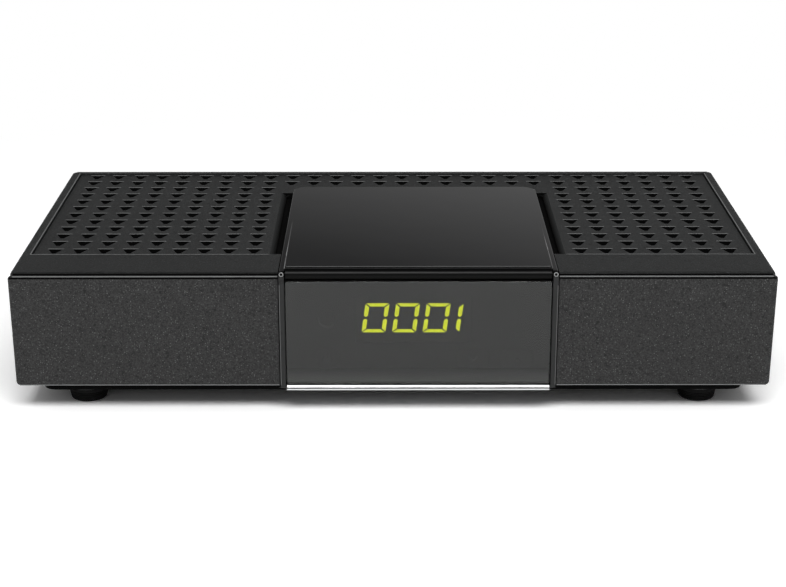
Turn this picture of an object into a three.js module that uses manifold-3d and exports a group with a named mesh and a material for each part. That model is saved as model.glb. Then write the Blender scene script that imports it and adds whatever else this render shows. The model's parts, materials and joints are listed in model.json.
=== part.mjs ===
// Compact cable television receiver.
// Millimetres, +X to the right, +Y to the rear, +Z up, standing on Z = 0 with its front towards -Y.

import * as THREE from "three";
import { mergeVertices, toCreasedNormals } from "three/addons/utils/BufferGeometryUtils.js";
import Module from "manifold-3d";

const wasm = await Module();
wasm.setup();

// Overall sizes
const bodyWidth = 220;
const bodyDepth = 110;
const bodyHeight = 43; // floor to the flat top of the cover

// Gaps and steps
const seatGap = 0.3; // between pieces that rest on or in one another
const runGap = 0.25; // beside a piece that turns or slides
const overrun = 4; // how far a cutting solid passes what it cuts
const sink = 0.2; // how far a joined block starts inside its carrier
const arcSteps = 2; // half the steps of a corner arc
const roundSteps = 3; // the same on larger round shapes
const fewSteps = 1; // the same on small hidden ones
const edgeSteps = 2; // steps of a rounded edge
const turnSteps = 16; // steps round a turned piece
const smallTurnSteps = 10; // steps round a small one
const creaseAngle = 0.6; // radians, flatter edges than this are shaded smooth

// Fascia, the textured front moulding
const fasciaDrop = 0.7; // its top edge below the cover's top
const fasciaBottom = 8.7;
const fasciaReach = 12; // how far its side and floor returns run back
const fasciaWall = 2.2;
const fasciaLip = 1; // wall left in front of the cover's nose
const fasciaDraft = 0.35;
const fasciaEdge = 0.8;
const fasciaTopRadius = 1; // more than the edge rounding, as for every rounded outline
const fasciaFootRadius = 1.2;
const fasciaRib = 1.2;
const fasciaRibDepth = 3;
const fasciaRibShares = [0.2, 0.5, 0.8]; // places along each wing
const fasciaBossRadius = 2.8;
const fasciaBossBore = 1.1;
const fasciaBossShares = [0.35, 0.65];
const fasciaBossRise = 9; // boss centre above the fascia's floor

// Top cover
const coverInset = 0.4; // its sides stand in from the fascia's sides
const coverWall = 2;
const coverNose = 1.3; // its front edge behind the front plane
const coverEdge = 0.9;
const coverCorner = 1.5;
const coverSkirt = 4; // height of the band round the top
const ledgeThickness = 1.6;
const ledgeWidth = 1.6;
const wellWall = 1.2; // wall round the sunk openings
const bedMargin = 3.2; // how far the panel bed reaches past the panel, under the troughs
const bedBar = 6; // bars left between the bed's openings
const bedOpenings = 3;
const coverPostRadius = 3;
const coverPostInset = 4.3; // post centre inside the cover's side
const coverPostBore = 1;
const coverPostBoreDepth = 12;

// Vent grille, sunk in the cover
const frontStrip = 18.6; // plain cover in front of the grille
const sideStrip = 3.1;
const rearStrip = 2.2;
const grilleRecess = 0.5;
const ventPitch = 7.4;
const ventWidth = 4.8; // flat edge of a hole, towards the rear
const ventDepth = 4.4;
const ventTip = 1; // blunt point of a hole, towards the front
const ventRowStart = 4.4; // first row behind the grille's front edge
const ventBlockStart = 8.6; // first column beside the gloss panel
const ventEdge = 2.6; // least plain border beside a hole
const ventRearEdge = 1.1; // the same behind the last row
const scoopWidth = 2; // trough along the gloss panel, as deep as the plate
const scoopSlope = 1.5; // width of its sloping outer side
const scoopSlopeDepth = 0.9;
const scoopSetback = 3; // its end before the panel's rear edge
const scoopRadius = 1.4;

// Centre trim, the gloss top panel with its two cheeks
const trimWidth = 79.8;
const trimOffset = 7.3; // its middle, to the right of the body's middle
const trimProud = 0.9; // above the cover and in front of the fascia
const trimWall = 2;
const trimRim = 2.4;
const trimEdge = 0.45;
const trimRearMargin = 22; // from its rear edge to the cover's rear edge
const trimRearRadius = 4.5;
const cheekWidth = 1.5;
const cheekDepth = 3.5;
const cheekCorner = 2;
const cheekFoot = 0.5; // radius at its lower end
const cheekOverhang = 0.4; // below the fascia's lower edge

// Flap, the window that hangs from the hinge bar
const hingeSetback = 1.9; // pivot behind the front plane
const hingeDrop = 0.7; // pivot below the cover's top
const rollRadius = 1.9;
const pinRadius = 0.7;
const pinReach = 1.2;
const windowProud = 0.6;
const windowThickness = 2;
const windowTopDrop = 1.3; // window's top edge below the pivot
const windowBottom = 9.5;
const windowEdge = 0.3;
const flangeThickness = 1;
const flangeHeight = 6.8; // below the pivot
const stripHeight = 1.5;
const stripProud = 1.1;
const stripChamfer = 0.55;
const stripLip = 1.6; // height of the lip behind the window
const stripLipThickness = 0.6;

// Bay panel behind the flap
const bayGap = 1.6; // free depth behind the window
const bayWall = 2;
const bayRim = 1.5;
const bayRimDepth = 1.1;
const bayFrame = 4; // side bars of the fascia's frame behind the bay
const bayFrameBar = 2.4; // its upper and lower bars
const bayFrameDepth = 3.6;
const displayWidth = 33;
const displayHeightShare = 0.44; // of the window's height
const displayOffset = 1.4; // its middle, to the left of the trim's middle
const displayRecess = 0.4;
const displayLevelShare = 0.6; // middle's place up the window
const displayEdge = 0.4;
const sensorShare = 0.17; // place across the bay
const sensorRadius = 2.6;
const sensorWidth = 6;
const sensorHeight = 7;
const sensorDome = 2.2;

// Control buttons behind the flap
const buttonRowShare = 0.22; // of the window's height
const buttonProud = 1; // in front of the bay panel
const buttonWidth = 9;
const buttonHeight = 5;
const buttonCorner = 1.2;
const buttonRound = 3.4; // radius of the round one
const buttonFlange = 0.8;
const buttonFlangeDepth = 0.8;
const buttonEdge = 0.3;
const buttonFree = 0.6; // from a button's back to its switch, more than its travel
const switchSize = 6;
const plungerRadius = 1.7;
const plungerLength = 0.7;

// Bottom tray
const panBottom = 5.9;
const panFloor = 2;
const panInset = 7; // pan's sides inside the body's sides
const panFront = 3; // pan's front edge behind the front plane
const panRear = 6;
const panCorner = 4;
const panEdge = 1.1;
const panWall = 2;
const brimRise = 1.8; // thickness of the brim
const brimTop = 10.8;
const standoffRadius = 3;
const standoffBore = 1.2;
const slotLength = 26;
const slotWidth = 2.6;
const slotPitch = 7.5;
const slotRows = 6;
const slotGroupOffset = 44; // middle of each group of slots from the body's middle

// Feet
const footInset = 19; // foot's middle inside the body's side
const footSetback = 14; // and behind the front plane and before the rear edge
const footRadius = 6;
const footTaper = 0.7;
const footEdge = 0.6;
const footHeight = 3.9;
const footStem = 2.6;
const footStemHeight = 2.8;
const footDimple = 2;
const footDimpleDepth = 0.7;
const bossRadius = 6.4;
const bossDrop = 1.7; // boss under the pan

// Case screws
const screwShares = [0.24, 0.86]; // places along the depth
const screwRadius = 1.2;
const screwHead = 2.1;
const screwHeadHeight = 1.5;
const screwDome = 0.5;
const screwLength = 11;
const screwSlot = 0.7;
const screwSlotReach = 1.4;

// Rear panel
const rearWall = 1.6;
const rearSetback = 0.8; // panel's outer face inside the cover's rear edge
const cutGap = 0.4; // round each socket

// Boards
const boardThickness = 1.6;
const boardRise = 4.3; // underside above the tray's floor
const boardSide = 12; // board's edge inside the body's side
const boardFront = 17;
const boardRear = 5.5;
const boardCorner = 1.5;
const frontBoardMargin = 1.6;

// Sockets in the rear panel, in a row with even gaps
const socketRowInset = 17.5; // first one inside the body's side
const rfInset = 22; // aerial input's axis inside the other side
const rfPitch = 17.6; // between the two aerial sockets
const rfFlange = 6.5;
const rfFlangeDepth = 2;
const rfBarrel = 6.1;
const rfBore = 4.8;
const rfPlugBarrel = 4.75;
const rfPlugBore = 4.1;
const rfContact = 2;
const rfContactBore = 1.2;
const rfContactSetback = 1;
const rfPin = 1.2;
const rfReach = 8.5; // behind the cover's rear edge
const rfHeight = 7.4; // axis above the board
const rfEdge = 0.3;
const tunerWidth = 40;
const tunerDepth = 30;
const tunerHeight = 14.5;
const tunerWall = 0.6;
const tunerLid = 0.6;
const tunerLidHeight = 3;
const tunerVent = 1.3;
const tunerVents = 5;
const scartWidth = 51;
const scartHeight = 15;
const scartDepth = 17;
const scartIslandWidth = 42;
const scartIslandHeight = 9.4;
const scartGroove = 1.7;
const scartGrooveDepth = 9;
const scartSlant = 4.5;
const scartSlot = 1;
const scartSlotHeight = 3;
const scartSlots = 10;
const scartSlotPitch = 3.81;
const scartRowGap = 1.1;
const hdmiWidth = 15;
const hdmiHeight = 6.2;
const hdmiDepth = 12;
const hdmiCut = 1.6;
const usbWidth = 14.4;
const usbHeight = 7;
const usbDepth = 14;
const shellWall = 0.6;
const shellBack = 2;
const tongueThickness = 1.5;
const tongueSideGap = 1.4;
const tongueSetback = 1.2;
const shellReach = 0.5; // behind the rear panel
const phonoBlock = 10;
const phonoBlockHeight = 12;
const phonoBlockDepth = 10;
const phonoBarrel = 4.15;
const phonoBore = 1.7;
const phonoReach = 8;
const phonoCollar = 4.8;
const phonoCollarDepth = 1;
const powerWidth = 9;
const powerHeight = 11;
const powerDepth = 14;
const powerBore = 3.1;
const powerBoreDepth = 9.5;
const powerPin = 1;

// Parts on the main board, each at shares of the board's half width and half depth
const chipSize = 24;
const chipHeight = 1.6;
const chipShares = [-0.12, -0.1];
const sinkSize = 36;
const sinkBase = 2;
const sinkHeight = 10;
const finThickness = 1.2;
const finCount = 9;
const capRadius = 4;
const capHeight = 11;
const capGroove = 0.4;
const capGrooveRise = 2;
const capEdge = 0.6;
const capShares = [[-0.86, 0.22], [-0.74, 0.22], [-0.8, -0.02]];
const coilSize = 12;
const coilHeight = 7;
const coilRadius = 4.6;
const coilStep = 1.2;
const coilShares = [-0.6, 0.2];
const memorySize = [14, 10, 1.2];
const memoryShares = [[-0.42, -0.2], [-0.42, 0.14], [0.16, -0.45], [0.36, -0.45]];

// Ribbon cable between the boards
const plugWidth = 20;
const plugDepth = 4;
const plugHeight = 3.2;
const plugRise = 12; // front plug's underside above the main board
const ribbonWidth = 16;
const ribbonThickness = 0.4;
const ribbonBend = 4.5;
const ribbonShare = -0.3; // place along the half width

// Levels and planes worked out from the sizes
const halfWidth = bodyWidth / 2;
const frontY = -bodyDepth / 2;
const rearY = bodyDepth / 2;
const fasciaTop = bodyHeight - fasciaDrop;
const skirtBottom = bodyHeight - coverSkirt;
const ledgeTop = skirtBottom + ledgeThickness;
const coverHalf = halfWidth - coverInset;
const coverFront = frontY + coverNose;
const grilleTop = bodyHeight - grilleRecess;
const grilleBottom = ledgeTop + seatGap;
const grilleHalf = coverHalf - sideStrip;
const grilleFront = frontY + frontStrip;
const grilleRear = rearY - rearStrip;
const trimLeft = trimOffset - trimWidth / 2;
const trimRight = trimOffset + trimWidth / 2;
const trimTop = bodyHeight + trimProud;
const trimUnder = ledgeTop + seatGap;
const trimFront = frontY - trimProud;
const trimRear = rearY - trimRearMargin;
const cheekBack = trimFront + cheekDepth;
const cheekBottom = fasciaBottom - cheekOverhang;
const pivotY = frontY + hingeSetback;
const pivotZ = bodyHeight - hingeDrop;
const plateFront = pivotY + rollRadius + seatGap;
const flapLeft = trimLeft + cheekWidth + runGap;
const flapRight = trimRight - cheekWidth - runGap;
const windowFront = frontY - windowProud;
const windowBack = windowFront + windowThickness;
const windowTop = pivotZ - windowTopDrop;
const windowHeight = windowTop - windowBottom;
const bayFront = windowBack + bayGap;
const bayBack = bayFront + bayWall + bayRimDepth;
const bayTop = pivotZ - rollRadius - seatGap;
const bayBottom = fasciaBottom + seatGap;
const slotLeft = trimLeft - seatGap;
const slotRight = trimRight + seatGap;
const tunnelFront = bayBack + seatGap;
const tunnelBack = tunnelFront + bayFrameDepth;
const tunnelTop = skirtBottom - seatGap;
const boardFace = tunnelBack + seatGap; // front face of the front board
const displayX = trimOffset - displayOffset;
const displayHeight = displayHeightShare * windowHeight;
const displayZ = windowBottom + displayLevelShare * windowHeight;
const buttonZ = windowBottom + buttonRowShare * windowHeight;
const panTop = panBottom + panFloor;
const brimHalf = coverHalf - coverWall - seatGap;
const brimFront = frontY + fasciaReach + seatGap;
const rearFace = rearY - rearSetback;
const rearInner = rearFace - rearWall;
const brimRear = rearInner - seatGap;
const boardBottom = panTop + boardRise;
const boardTop = boardBottom + boardThickness;
const partBase = boardTop + seatGap;
const boardHalf = halfWidth - boardSide;
const boardFrontY = frontY + boardFront;
const boardRearY = rearY - boardRear;
const boardMiddleY = (boardFrontY + boardRearY) / 2;
const boardHalfDepth = (boardRearY - boardFrontY) / 2;
const depthShift = (stripProud - rfReach) / 2; // brings the middle of the whole depth to Y = 0

// Outline through corners given as [x, y, radius], with each radius held to its shorter side
function outline(corners, path = new THREE.Shape()) {
  const count = corners.length;
  corners.forEach(([x, y, radius = 0], i) => {
    const corner = new THREE.Vector2(x, y);
    const before = new THREE.Vector2(...corners[(i + count - 1) % count]).sub(corner);
    const after = new THREE.Vector2(...corners[(i + 1) % count]).sub(corner);
    const limit = Math.min(before.length(), after.length()) / 2;
    before.normalize();
    after.normalize();
    const half = Math.acos(THREE.MathUtils.clamp(before.dot(after), -1, 1)) / 2;
    const reach = Math.min(radius / Math.tan(half), limit);
    const held = reach * Math.tan(half);
    const start = corner.clone().addScaledVector(before, reach);
    if (i === 0) path.moveTo(start.x, start.y);
    else path.lineTo(start.x, start.y);
    if (held > 0) {
      const end = corner.clone().addScaledVector(after, reach);
      const middle = before.clone().add(after).normalize();
      const centre = corner.clone().addScaledVector(middle, held / Math.sin(half));
      const from = Math.atan2(start.y - centre.y, start.x - centre.x);
      const to = Math.atan2(end.y - centre.y, end.x - centre.x);
      path.absarc(centre.x, centre.y, held, from, to, before.cross(after) > 0);
    }
  });
  return path;
}

function rectangle(x0, y0, x1, y1, radius = 0) {
  return outline([[x0, y0, radius], [x1, y0, radius], [x1, y1, radius], [x0, y1, radius]]);
}

// Disc of four quarter arcs, so that it gets four times the steps of a corner
function disc(x, y, radius) {
  const shape = new THREE.Shape();
  for (let quarter = 0; quarter < 4; quarter++) {
    const from = (quarter * Math.PI) / 2;
    shape.absarc(x, y, radius, from, from + Math.PI / 2, false);
  }
  return shape;
}

// Closed solid from a geometry, with shared corners merged and empty triangles left out
function solid(geometry) {
  const bare = new THREE.BufferGeometry();
  bare.setAttribute("position", geometry.getAttribute("position"));
  if (geometry.index) bare.setIndex(geometry.index);
  const merged = mergeVertices(bare);
  const index = merged.index.array;
  const kept = [];
  for (let i = 0; i < index.length; i += 3) {
    const [a, b, c] = [index[i], index[i + 1], index[i + 2]];
    if (a !== b && b !== c && c !== a) kept.push(a, b, c);
  }
  const vertProperties = Float32Array.from(merged.getAttribute("position").array);
  return new wasm.Manifold(new wasm.Mesh({ numProp: 3, vertProperties, triVerts: Uint32Array.from(kept) }));
}

// Outline pushed through a length, with both end edges rounded where a rounding is given
function pushed(shape, length, rounding, steps) {
  const geometry = new THREE.ExtrudeGeometry(shape, {
    depth: length - 2 * rounding,
    curveSegments: steps,
    bevelEnabled: rounding > 0,
    bevelThickness: rounding,
    bevelSize: rounding,
    bevelOffset: -rounding,
    bevelSegments: edgeSteps,
  });
  return geometry.translate(0, 0, rounding);
}

// Outline drawn in X and Y, pushed along Z
function upright(shape, z0, z1, rounding = 0, steps = arcSteps) {
  return solid(pushed(shape, z1 - z0, rounding, steps).translate(0, 0, z0));
}

// Outline drawn in X and Z, pushed along Y
function frontal(shape, y0, y1, rounding = 0, steps = arcSteps) {
  return solid(pushed(shape, y1 - y0, rounding, steps).rotateX(Math.PI / 2).translate(0, y1, 0));
}

// Outline drawn in Y and Z, pushed along X
function sideways(shape, x0, x1, rounding = 0, steps = arcSteps) {
  const turn = new THREE.Matrix4().makeBasis(
    new THREE.Vector3(0, 1, 0),
    new THREE.Vector3(0, 0, 1),
    new THREE.Vector3(1, 0, 0),
  );
  return solid(pushed(shape, x1 - x0, rounding, steps).applyMatrix4(turn).translate(x0, 0, 0));
}

function block(x0, x1, y0, y1, z0, z1) {
  const geometry = new THREE.BoxGeometry(x1 - x0, y1 - y0, z1 - z0);
  return solid(geometry.translate((x0 + x1) / 2, (y0 + y1) / 2, (z0 + z1) / 2));
}

// Turned solid about Z from a profile of [radius, height] points
function turned(profile, steps = turnSteps) {
  const points = profile.map(([radius, height]) => new THREE.Vector2(radius, height));
  return solid(new THREE.LatheGeometry(points, steps).rotateX(Math.PI / 2));
}

function joined(solids) {
  return solids.reduce((whole, piece) => whole.add(piece));
}

function cut(whole, tools) {
  return tools.reduce((rest, tool) => rest.subtract(tool), whole);
}

const receiver = new THREE.Group();
receiver.position.y = depthShift;

// Named mesh with its own material, put into a group
function place(name, body, look, group = receiver) {
  const { vertProperties, triVerts } = body.getMesh();
  const geometry = new THREE.BufferGeometry();
  geometry.setAttribute("position", new THREE.BufferAttribute(vertProperties, 3));
  geometry.setIndex(new THREE.BufferAttribute(triVerts, 1));
  const material = new THREE.MeshStandardMaterial(look);
  const mesh = new THREE.Mesh(toCreasedNormals(geometry, creaseAngle), material);
  mesh.name = name;
  group.add(mesh);
  return mesh;
}

// Looks
const coverBlack = { color: 0x363737, roughness: 0.62, metalness: 0 };
const fasciaBlack = { color: 0x3a3b3b, roughness: 0.7, metalness: 0 };
const glossBlack = { color: 0x1d1e1e, roughness: 0.12, metalness: 0 };
const smokedAcrylic = { color: 0x3c3e3c, roughness: 0.08, metalness: 0 };
const brightChrome = { color: 0xe8eaea, roughness: 0.1, metalness: 1 };
const innerBlack = { color: 0x232424, roughness: 0.6, metalness: 0 };
const rubberBlack = { color: 0x141414, roughness: 0.9, metalness: 0 };
const boardGreen = { color: 0x1f4d34, roughness: 0.55, metalness: 0 };
const tinPlate = { color: 0xb9bcbd, roughness: 0.35, metalness: 1 };
const heatSinkGrey = { color: 0x5c6063, roughness: 0.5, metalness: 1 };
const capSleeve = { color: 0x20242c, roughness: 0.45, metalness: 0 };
const displayGrey = { color: 0x2a2c2a, roughness: 0.4, metalness: 0 };
const sensorTint = { color: 0x1b1414, roughness: 0.2, metalness: 0 };
const ribbonWhite = { color: 0xd9dad6, roughness: 0.6, metalness: 0 };
const plugIvory = { color: 0xcfc9b8, roughness: 0.6, metalness: 0 };
const screwSteel = { color: 0x2c2d2e, roughness: 0.4, metalness: 1 };

// Fascia: drafted shell with side and floor returns, a slot for the centre trim and
// a tunnel behind it whose frame carries the bay panel and the front board
function makeFascia() {
  const half = halfWidth - fasciaWall;
  const bottom = fasciaBottom + fasciaWall;
  const below = fasciaBottom - overrun;
  const above = bodyHeight + overrun;
  const front = frontY - overrun;
  const back = frontY + fasciaReach;
  const face = outline([
    [-halfWidth + fasciaDraft, fasciaBottom, fasciaFootRadius],
    [halfWidth - fasciaDraft, fasciaBottom, fasciaFootRadius],
    [halfWidth, fasciaTop, fasciaTopRadius],
    [-halfWidth, fasciaTop, fasciaTopRadius],
  ]);
  const inner = outline([
    [-half + fasciaDraft, bottom, fasciaFootRadius],
    [half - fasciaDraft, bottom, fasciaFootRadius],
    [half, above],
    [-half, above],
  ]);
  const tunnelLeft = slotLeft - fasciaWall;
  const tunnelRight = slotRight + fasciaWall;
  const tunnel = block(tunnelLeft, tunnelRight, frontY, tunnelBack, below, tunnelTop);
  const hollow = frontal(inner, frontY + fasciaWall, back + overrun).subtract(tunnel);
  const shell = frontal(face, frontY, back + overrun, fasciaEdge)
    .subtract(block(-bodyWidth, bodyWidth, back, back + bodyDepth, below, above))
    .subtract(hollow);
  const ribs = [];
  const ribTop = tunnelTop - coverWall;
  const ribBack = frontY + fasciaWall + fasciaRibDepth;
  [[-half, tunnelLeft], [tunnelRight, half]].forEach(([from, to]) => {
    fasciaRibShares.forEach((share) => {
      const x = from + share * (to - from) - fasciaRib / 2;
      ribs.push(block(x, x + fasciaRib, frontY + fasciaWall - sink, ribBack, bottom - sink, ribTop));
    });
    fasciaBossShares.forEach((share) => {
      const x = from + share * (to - from);
      const z = bottom + fasciaBossRise;
      const wall = frontY + fasciaWall;
      const boss = frontal(disc(x, z, fasciaBossRadius), wall - sink, back - coverWall, 0, fewSteps);
      ribs.push(boss.subtract(frontal(disc(x, z, fasciaBossBore), wall, back, 0, fewSteps)));
    });
  });
  const frameOpening = rectangle(
    slotLeft + bayFrame,
    fasciaBottom + bayFrameBar,
    slotRight - bayFrame,
    tunnelTop - bayFrameBar,
  );
  return cut(joined([shell, ...ribs]), [
    block(-bodyWidth, bodyWidth, frontY + fasciaLip, back + overrun, tunnelTop, above),
    block(slotLeft, slotRight, front, tunnelFront, below, above),
    frontal(frameOpening, front, back + overrun),
  ]);
}

// Plan of the grille and of the centre trim
const grillePlan = (grow) =>
  rectangle(-grilleHalf - grow, grilleFront - grow, grilleHalf + grow, grilleRear + grow);
const trimPlan = (front, grow) =>
  outline([
    [trimLeft - grow, front],
    [trimRight + grow, front],
    [trimRight + grow, trimRear + grow, trimRearRadius + grow],
    [trimLeft - grow, trimRear + grow, trimRearRadius + grow],
  ]);

// Top cover: lid with a band round the top, a well with a ledge for the grille, a bed for
// the gloss panel and screw posts down its sides
function makeCover() {
  const bottom = fasciaBottom;
  const below = bottom - overrun;
  const above = bodyHeight + overrun;
  const innerHalf = coverHalf - coverWall;
  const notchBack = frontY + fasciaReach + seatGap;
  const plan = rectangle(-coverHalf, coverFront, coverHalf, rearY, coverCorner);
  const room = rectangle(-innerHalf, coverFront + coverWall, innerHalf, rearY - coverWall);
  const lid = cut(upright(plan, bottom - coverEdge, bodyHeight, coverEdge), [
    block(-bodyWidth, bodyWidth, -bodyDepth, bodyDepth, below, bottom),
    upright(room, below, bodyHeight - coverWall),
    block(-innerHalf, innerHalf, 0, rearY + overrun, below, skirtBottom - seatGap),
  ]);
  const bedFront = bayBack + seatGap;
  const wellTop = bodyHeight - coverWall / 2;
  const well = joined([
    upright(grillePlan(wellWall), skirtBottom, wellTop),
    upright(trimPlan(bedFront, seatGap + wellWall), skirtBottom, wellTop),
  ]);
  const posts = [];
  screwShares.forEach((share) => {
    const y = frontY + share * bodyDepth;
    [-1, 1].forEach((side) => {
      const x = side * (coverHalf - coverPostInset);
      const foot = brimTop + seatGap;
      const post = upright(disc(x, y, coverPostRadius), foot, skirtBottom + sink, 0, fewSteps);
      const bore = upright(disc(x, y, coverPostBore), bottom, foot + coverPostBoreDepth, 0, fewSteps);
      posts.push(post.subtract(bore));
    });
  });
  const innerLeft = -grilleHalf + ledgeWidth;
  const bedLeft = trimLeft - bedMargin;
  const bedRight = trimRight + bedMargin;
  const bedRear = trimRear + bedMargin;
  const innerFront = grilleFront + ledgeWidth;
  const innerRear = grilleRear - ledgeWidth;
  const tools = [
    upright(grillePlan(0), ledgeTop, above),
    upright(trimPlan(coverFront - overrun, seatGap), ledgeTop, above),
    block(slotLeft, slotRight, frontY - overrun, bedFront, below, above),
    block(-bodyWidth, bodyWidth, frontY - overrun, notchBack, below, skirtBottom),
    block(innerLeft, bedLeft, innerFront, innerRear, skirtBottom - overrun, above),
    block(bedRight, -innerLeft, innerFront, innerRear, skirtBottom - overrun, above),
    block(bedLeft + bedMargin, bedRight - bedMargin, bedRear, innerRear, skirtBottom - overrun, above),
  ];
  const openingDepth = (bedRear - innerFront - bedBar * bedOpenings) / bedOpenings;
  for (let i = 0; i < bedOpenings; i++) {
    const y = innerFront + i * (openingDepth + bedBar);
    const hole = rectangle(trimLeft + bedBar, y, trimRight - bedBar, y + openingDepth, coverCorner);
    tools.push(upright(hole, skirtBottom - overrun, above, 0, fewSteps));
  }
  return cut(joined([lid, well, ...posts]), tools);
}

// Middles of the vent holes: rows at one pitch, columns in a block on either side of the
// gloss panel and, behind the panel, across the gap between the blocks
function ventPlaces() {
  const places = [];
  const edge = ventEdge + ventWidth / 2;
  const firstLeft = trimLeft - ventBlockStart;
  const firstRight = trimRight + ventBlockStart;
  const lastRow = grilleRear - ventRearEdge - ventDepth / 2;
  for (let y = grilleFront + ventRowStart; y <= lastRow; y += ventPitch) {
    for (let x = firstLeft; x >= -grilleHalf + edge; x -= ventPitch) places.push([x, y]);
    for (let x = firstRight; x <= grilleHalf - edge; x += ventPitch) places.push([x, y]);
    if (y - ventDepth > trimRear) {
      for (let x = firstLeft + ventPitch; x <= firstRight - ventPitch; x += ventPitch) places.push([x, y]);
    }
  }
  return places;
}

// Vent grille: plate round the gloss panel, with rows of blunt triangular holes and a
// trough along each side of the panel whose outer side slopes up to the field
function makeGrille() {
  const left = -grilleHalf + seatGap;
  const front = grilleFront + seatGap;
  const rear = grilleRear - seatGap;
  const innerLeft = trimLeft - seatGap;
  const innerRight = trimRight + seatGap;
  const innerRear = trimRear + seatGap;
  const plan = outline([
    [left, front],
    [innerLeft, front],
    [innerLeft, innerRear, trimRearRadius],
    [innerRight, innerRear, trimRearRadius],
    [innerRight, front],
    [-left, front],
    [-left, rear],
    [left, rear],
  ]);
  const vents = ventPlaces().map(([x, y]) =>
    outline([
      [x + ventWidth / 2, y + ventDepth / 2],
      [x - ventWidth / 2, y + ventDepth / 2],
      [x - ventTip / 2, y - ventDepth / 2],
      [x + ventTip / 2, y - ventDepth / 2],
    ]),
  );
  const scoops = [-1, 1].flatMap((side) => {
    const edge = side < 0 ? innerLeft : innerRight;
    const within = edge - side * overrun;
    const floorSide = edge + side * scoopWidth;
    const slopeSide = floorSide + side * scoopSlope;
    const scoopFront = front - overrun;
    const scoopRear = trimRear - scoopSetback;
    const trough = outline([
      [within, scoopFront],
      [floorSide, scoopFront],
      [floorSide, scoopRear, scoopRadius],
      [within, scoopRear],
    ]);
    const slope = outline([
      [within, grilleTop + overrun],
      [within, grilleTop - scoopSlopeDepth],
      [floorSide, grilleTop - scoopSlopeDepth],
      [slopeSide, grilleTop],
      [slopeSide, grilleTop + overrun],
    ]);
    return [
      upright(trough, grilleBottom - overrun, grilleTop + overrun),
      frontal(slope, scoopFront, scoopRear),
    ];
  });
  const field = upright(plan, grilleBottom, grilleTop);
  return cut(field, [upright(vents, grilleBottom - overrun, grilleTop + overrun), ...scoops]);
}

// Centre trim: gloss top panel, hollow underneath, with a cheek down each side of the flap
function makeTrim() {
  const plate = upright(trimPlan(plateFront, 0), trimUnder, trimTop);
  const [pocketLeft, pocketRight] = [trimLeft + trimRim, trimRight - trimRim];
  const under = rectangle(pocketLeft, plateFront + trimRim, pocketRight, trimRear - trimRim, trimRearRadius);
  const pocket = upright(under, trimUnder - overrun, trimTop - trimWall);
  const profile = outline([
    [trimFront, cheekBottom, cheekFoot],
    [cheekBack, cheekBottom, cheekFoot],
    [cheekBack, trimUnder],
    [trimRear, trimUnder],
    [trimRear, trimTop],
    [trimFront, trimTop, cheekCorner],
  ]);
  const cheeks = [
    sideways(profile, trimLeft, trimLeft + cheekWidth),
    sideways(profile, trimRight - cheekWidth, trimRight),
  ];
  const bound = upright(trimPlan(trimFront, 0), cheekBottom - trimEdge, trimTop, trimEdge);
  const bore = sideways(disc(pivotY, pivotZ, pinRadius + runGap), -halfWidth, halfWidth);
  return joined([plate.subtract(pocket), ...cheeks]).intersect(bound).subtract(bore);
}

// Hinge bar, drawn about the pivot: roll with an end pin each side and a flange that
// carries the window, whose top edge lies in a rebate under the roll
function makeHingeBar() {
  const back = windowBack + seatGap - pivotY;
  const roll = sideways(disc(0, 0, rollRadius), flapLeft, flapRight);
  const flange = block(flapLeft, flapRight, back, back + flangeThickness, -flangeHeight, 0);
  const rebate = block(
    flapLeft - overrun,
    flapRight + overrun,
    -rollRadius - overrun,
    back,
    -flangeHeight,
    seatGap - windowTopDrop,
  );
  const pins = sideways(disc(0, 0, pinRadius), flapLeft - pinReach, flapRight + pinReach);
  return joined([roll, flange]).subtract(rebate).add(pins);
}

// Smoked window, drawn about the pivot
function makeWindow() {
  const bottom = windowBottom - pivotZ;
  const face = rectangle(flapLeft, bottom, flapRight, -windowTopDrop, 2 * windowEdge);
  return frontal(face, windowFront - pivotY, windowBack - pivotY, windowEdge);
}

// Bright strip under the window, drawn about the pivot: bar with a finger edge at the
// front and a lip up behind the window
function makeStrip() {
  const top = windowBottom - seatGap - pivotZ;
  const bottom = top - stripHeight;
  const front = frontY - stripProud - pivotY;
  const lip = windowBack + seatGap - pivotY;
  const lipBack = lip + stripLipThickness;
  const profile = outline([
    [front, bottom, stripChamfer / 2],
    [lipBack, bottom],
    [lipBack, top + stripLip],
    [lip, top + stripLip],
    [lip, top],
    [front + stripChamfer, top],
    [front, top - stripChamfer],
  ]);
  return sideways(profile, flapLeft, flapRight);
}

// Buttons: each has a place along the bay and an outline drawn about its own middle
const buttons = [
  { name: "standby", share: 0.17, face: (grow) => disc(0, 0, buttonRound + grow) },
  { name: "channel_down", share: 0.7, face: (grow) => buttonFace(grow) },
  { name: "channel_up", share: 0.86, face: (grow) => buttonFace(grow) },
];
function buttonFace(grow) {
  const x = buttonWidth / 2 + grow;
  const z = buttonHeight / 2 + grow;
  return rectangle(-x, -z, x, z, buttonCorner + grow);
}
const acrossBay = (share) => trimLeft + share * trimWidth;

// Bay panel: plate with a rim behind it and openings for the display, sensor and buttons
function makeBayPanel() {
  const face = rectangle(trimLeft, bayBottom, trimRight, bayTop);
  const inner = rectangle(trimLeft + bayRim, bayBottom + bayRim, trimRight - bayRim, bayTop - bayRim);
  const halfX = displayWidth / 2 + seatGap;
  const halfZ = displayHeight / 2 + seatGap;
  const opening = rectangle(displayX - halfX, displayZ - halfZ, displayX + halfX, displayZ + halfZ);
  const back = bayBack + overrun;
  const front = bayFront - overrun;
  const tools = [
    frontal(inner, bayFront + bayWall, back),
    frontal(opening, front, back),
    frontal(disc(acrossBay(sensorShare), displayZ, sensorRadius), front, back),
  ];
  buttons.forEach(({ share, face: shape }) => {
    tools.push(frontal(shape(runGap), front, back).translate(acrossBay(share), 0, buttonZ));
  });
  return cut(frontal(face, bayFront, bayBack), tools);
}

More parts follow.
